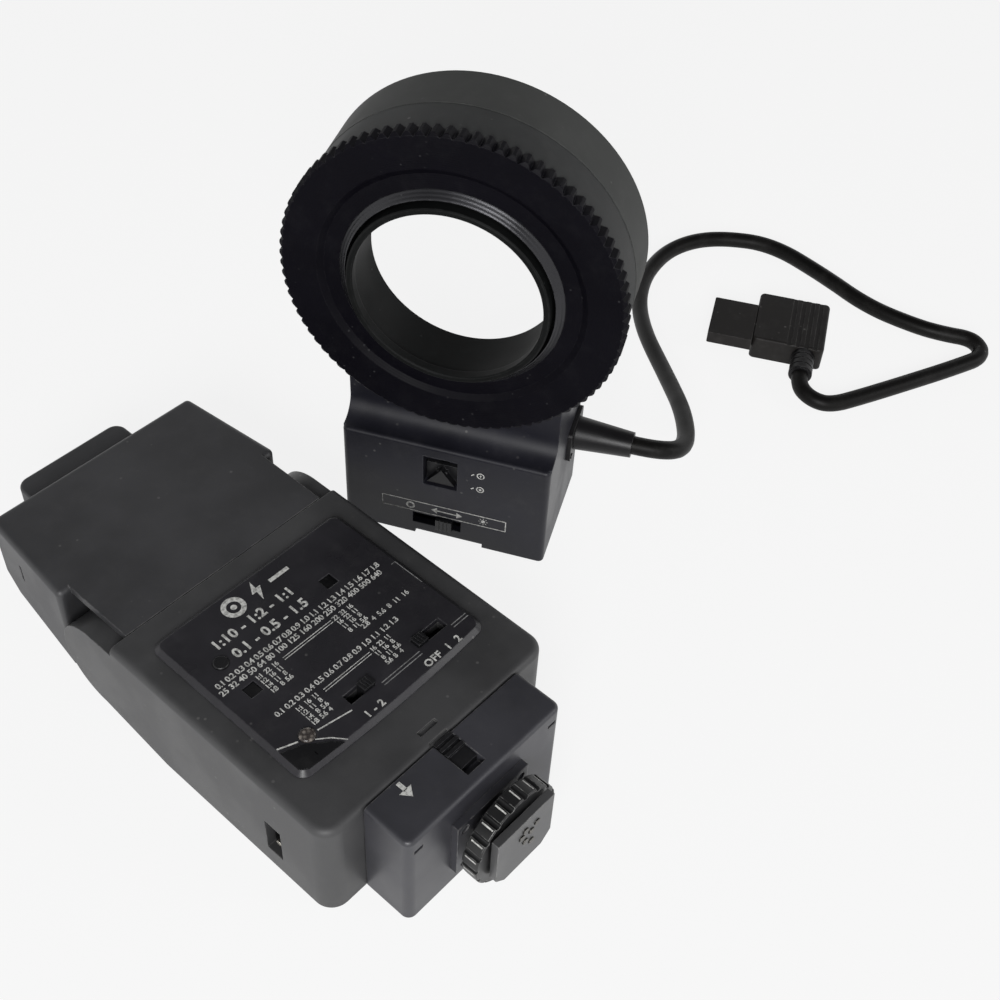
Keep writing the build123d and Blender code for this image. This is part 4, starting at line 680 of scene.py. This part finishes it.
def print_panel():
    """Figures, rules and signs on the control panel."""
    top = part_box("control_panel")[1][2]
    white = Print(face_up(top))
    # Title: signs for a ring light and a flash, over the range of scales and of distances
    white.ring((-8.6, 14.4), 3.1, 1.8)
    white.dot((-8.6, 14.4), 0.8)
    white.bolt((-1.4, 14.4), 3.3)
    white.chain(((2.6, 14.4), (8.6, 14.4)), 1.1)
    white.figures("1:10 - 1:2 - 1:1", (-19.8, 7.4), 2.7, 1.06, 0.045)
    white.figures("0.1 - 0.5 - 1.5", (-17.8, 2.4), 2.7, 1.06, 0.045)
    # Guide for the two lights: headings, scale columns and their rules
    white.figures("0.1 0.2 0.3 0.4 0.5 0.6 0.7 0.8 0.9 1.0 1.1 1.2 1.3 1.4 1.5 1.6 1.7 1.8",
                  (-26.6, -1.2), 1.55, 0.9, 0.03)
    white.figures("25 32 40 50 64 80 100 125 160 200 250 320 400 500 640",
                  (-27.2, -3.4), 1.55, 0.98, 0.03)
    columns = ((-18.8, -5.7, ("1:1  22  16", "1:2  16  11", "1:4  11   8", "1:8   8  5.6")),
               (5.0, -5.8, ("22  32  16", "16  22  11", "11  16   8", " 8  11  5.6")),
               (-18.4, -18.7, ("1:1  16  11", "1:2  11   8", "1:4   8  5.6", "1:8  5.6  4")),
               (4.8, -18.7, ("16  22  11", "11  16   8", " 8  11  5.6", "5.6  8   4")))
    line_pitch = 1.7
    for x, y, lines in columns:
        for i, line in enumerate(lines):
            white.figures(line, (x, y - line_pitch * i), 1.3, 0.85, 0.03)
    white.figures("2.8  4  5.6  8  11  16", (8.2, -12.4), 1.4, 0.95, 0.03)
    white.figures("0.1 0.2 0.3 0.4 0.5 0.6 0.7 0.8 0.9 1.0 1.1 1.2 1.3",
                  (-22.4, -16.4), 1.5, 0.95, 0.03)
    white.figures("OFF  1  2", (10.6, -31.1), 1.9, 1.1, 0.045)
    white.figures("1 - 2", (-8.6, -31.1), 1.9, 1.1, 0.045)
    for y in (-5.0, -5.7):
        white.rule((-10.6, y), (4.6, y), 0.2)
    for y in (-18.2, -18.9):
        white.rule((-10.2, y), (4.4, y), 0.2)
    white.chain(((-28.2, -22.5), (-23.6, -24.4)), 0.4)
    white.chain(((-20.6, -26.6), (-17.9, -28.8), (-15.6, -31.8)), 0.3)
    white.rule((-18.6, -25.2), (-9.6, -26.9), 0.35)
    white.figures("1", (-23.2, -29.9), 1.1)
    white.done("panel_figures", "pack")
    grey = Print(face_up(top))
    grey.chain(((26.8, -3.0), (28.0, -3.0), (28.0, -12.2)), 0.22)
    for y in (-26.4, -27.3):
        grey.rule((0.2, y), (12.6, y), 0.24)
        grey.rule((23.2, y), (28.2, y), 0.24)
    grey.done("panel_rules", "pack", "grey_ink")
    corner = Print(face_up(top))
    corner.outline(((-28.4, -23.6), (-28.4, -29.8), (-26.6, -31.3), (-16.4, -31.9), (-18.6, -29.2),
                    (-21.2, -27.4), (-24.0, -25.2)))
    corner.done("lamp_corner", "pack", "gloss_black")


def print_box():
    """Signs on the rear face of the ring head's box."""
    signs = Print(face_back(0.0))
    low, high, left, right = 8.9, 12.7, -17.8, 17.8    # frame round the selector's signs
    sun_x, sun_y, ray_count = 11.4, 10.8, 8
    signs.chain(((left, low), (left, high), (right, high), (right, low), (left, low)), 0.3)
    signs.rule((-2.2, 10.8), (4.0, 10.8), 0.4)
    signs.outline(((-3.6, 10.8), (-1.9, 9.7), (-1.9, 11.9)))
    signs.outline(((5.4, 10.8), (3.7, 11.9), (3.7, 9.7)))
    signs.ring((-9.6, 10.8), 1.3, 0.75, 24)
    signs.dot((sun_x, sun_y), 0.6)
    for i in range(ray_count):
        turn = 2 * pi * i / ray_count
        signs.rule((sun_x + 0.85 * cos(turn), sun_y + 0.85 * sin(turn)),
                   (sun_x + 1.35 * cos(turn), sun_y + 1.35 * sin(turn)), 0.22)
    for height in (28.4, 23.2):
        signs.ring((10.1, height), 1.1, 0.8, 24)
        signs.rule((7.5, height - 0.4), (8.3, height + 0.2), 0.3)
    signs.bolt((10.1, 28.4), 0.7)
    signs.dot((10.1, 23.2), 0.4)
    signs.done("box_signs", "ring_head")


def paint_wheel_highlights():
    """Painted highlights: a white strip on each land of the lock wheel's rim."""
    low, high = (Vector(corner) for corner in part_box("lock_wheel"))
    hub, radius, lands = (low + high) / 2, (high.z - low.z) / 2, 18
    first_land_share = 0.3    # of a land's pitch
    marks = Print(Matrix())
    for i in range(lands):
        turn = 2 * pi * (i + first_land_share) / lands
        out = Vector((cos(turn), 0, sin(turn)))
        along = Vector((0, -1, 0))
        axes = Matrix((along, out.cross(along), out)).transposed().to_4x4()
        marks.face = Matrix.Translation(hub + out * radius) @ axes
        # Each strip is a painted highlight in white ink.
        marks.rule((-1.5, 0), (1.7, 0), 0.36)
    marks.done("wheel_highlights", "lock_wheel")


def print_module():
    """Arrow that shows which way the release slides."""
    arrow = Print(face_up(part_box("module_case")[1][2]))
    arrow.rule((-15.4, -46.9), (-15.4, -49.4), 1.1)
    arrow.outline(((-17.2, -49.2), (-15.4, -51.6), (-13.6, -49.2)))
    arrow.done("release_arrow", "module")


# Stage

def bright_rays(tree):
    """One for rays that should see the bare background, and nought for light."""
    path = node(tree, "ShaderNodeLightPath")
    seen = maths(tree, "MAXIMUM", path.outputs["Is Camera Ray"], path.outputs["Is Glossy Ray"])
    return maths(tree, "MAXIMUM", seen, path.outputs["Is Transmission Ray"])


def lay_floor():
    """A level floor, nearly white to the camera and a matt grey-white to the light."""
    mesh = bpy.data.meshes.new("floor")
    corners = ((-1, -1), (1, -1), (1, 1), (-1, 1))
    mesh.from_pydata([(x * FLOOR_REACH, y * FLOOR_REACH, -FLOOR_DROP) for x, y in corners],
                     [], [(0, 1, 2, 3)])
    floor = bpy.data.objects.new("floor", mesh)
    bpy.context.collection.objects.link(floor)
    made = bpy.data.materials.new("floor_white")
    made.use_nodes = True
    tree = made.node_tree
    shader = tree.nodes["Principled BSDF"]
    shader.inputs["Base Color"].default_value = FLOOR_WHITE
    shader.inputs["Roughness"].default_value = 0.9
    shader.inputs["Specular IOR Level"].default_value = 0.1
    glow = node(tree, "ShaderNodeEmission")
    glow.inputs["Strength"].default_value = 1.0
    mix = node(tree, "ShaderNodeMixShader")
    feed(tree, mix, 0, maths(tree, "MULTIPLY", bright_rays(tree), FLOOR_SHOWN_WHITE))
    tree.links.new(shader.outputs[0], mix.inputs[1])
    tree.links.new(glow.outputs[0], mix.inputs[2])
    tree.links.new(mix.outputs[0], tree.nodes["Material Output"].inputs["Surface"])
    mesh.materials.append(made)


def light_sky():
    """White at the horizon, and a dimmer ceiling above."""
    world = bpy.data.worlds.new("studio")
    bpy.context.scene.world = world
    world.use_nodes = True
    tree = world.node_tree
    glow = tree.nodes["Background"]
    split = node(tree, "ShaderNodeSeparateXYZ")
    feed(tree, split, 0, node(tree, "ShaderNodeTexCoord").outputs["Generated"])
    ceiling = ramp(tree, split.outputs["Z"], CEILING_START, CEILING_FULL)
    feed(tree, glow, "Color", blend_colour(tree, ceiling, (1.0, 1.0, 1.0, 1.0), CEILING_GREY))
    feed(tree, glow, "Strength", ramp(tree, bright_rays(tree), 0.0, 1.0, SKY_AT_DIFFUSE, 1.0))


def hang_lamp(name, place, power):
    """A round soft light that faces the set."""
    lamp = bpy.data.lights.new(name, "AREA")
    lamp.shape, lamp.size, lamp.energy = "DISK", LAMP_SIZE, power
    holder = bpy.data.objects.new(name, lamp)
    bpy.context.collection.objects.link(holder)
    holder.location = place
    holder.rotation_euler = (Vector(place) - Vector(LAMP_TARGET)).to_track_quat("Z", "Y").to_euler()


def set_camera():
    """The camera, where it was fitted to the photograph."""
    lens = bpy.data.cameras.new("camera")
    lens.sensor_width, lens.lens = SENSOR, CAMERA_LENS
    lens.clip_start, lens.clip_end = 0.01, 30.0
    camera = bpy.data.objects.new("camera", lens)
    bpy.context.collection.objects.link(camera)
    turn = Matrix((CAMERA_RIGHT, -CAMERA_DOWN, -CAMERA_AHEAD)).transposed().to_4x4()
    camera.matrix_world = Matrix.Translation(CAMERA_PLACE) @ turn
    bpy.context.scene.camera = camera


dress_nodes()
lay_cord()
print_panel()
print_box()
paint_wheel_highlights()
print_module()
lay_floor()
light_sky()
hang_lamp("key", KEY_PLACE, KEY_POWER)
hang_lamp("fill", FILL_PLACE, FILL_POWER)
set_camera()
bpy.context.scene.view_settings.view_transform = "Standard"
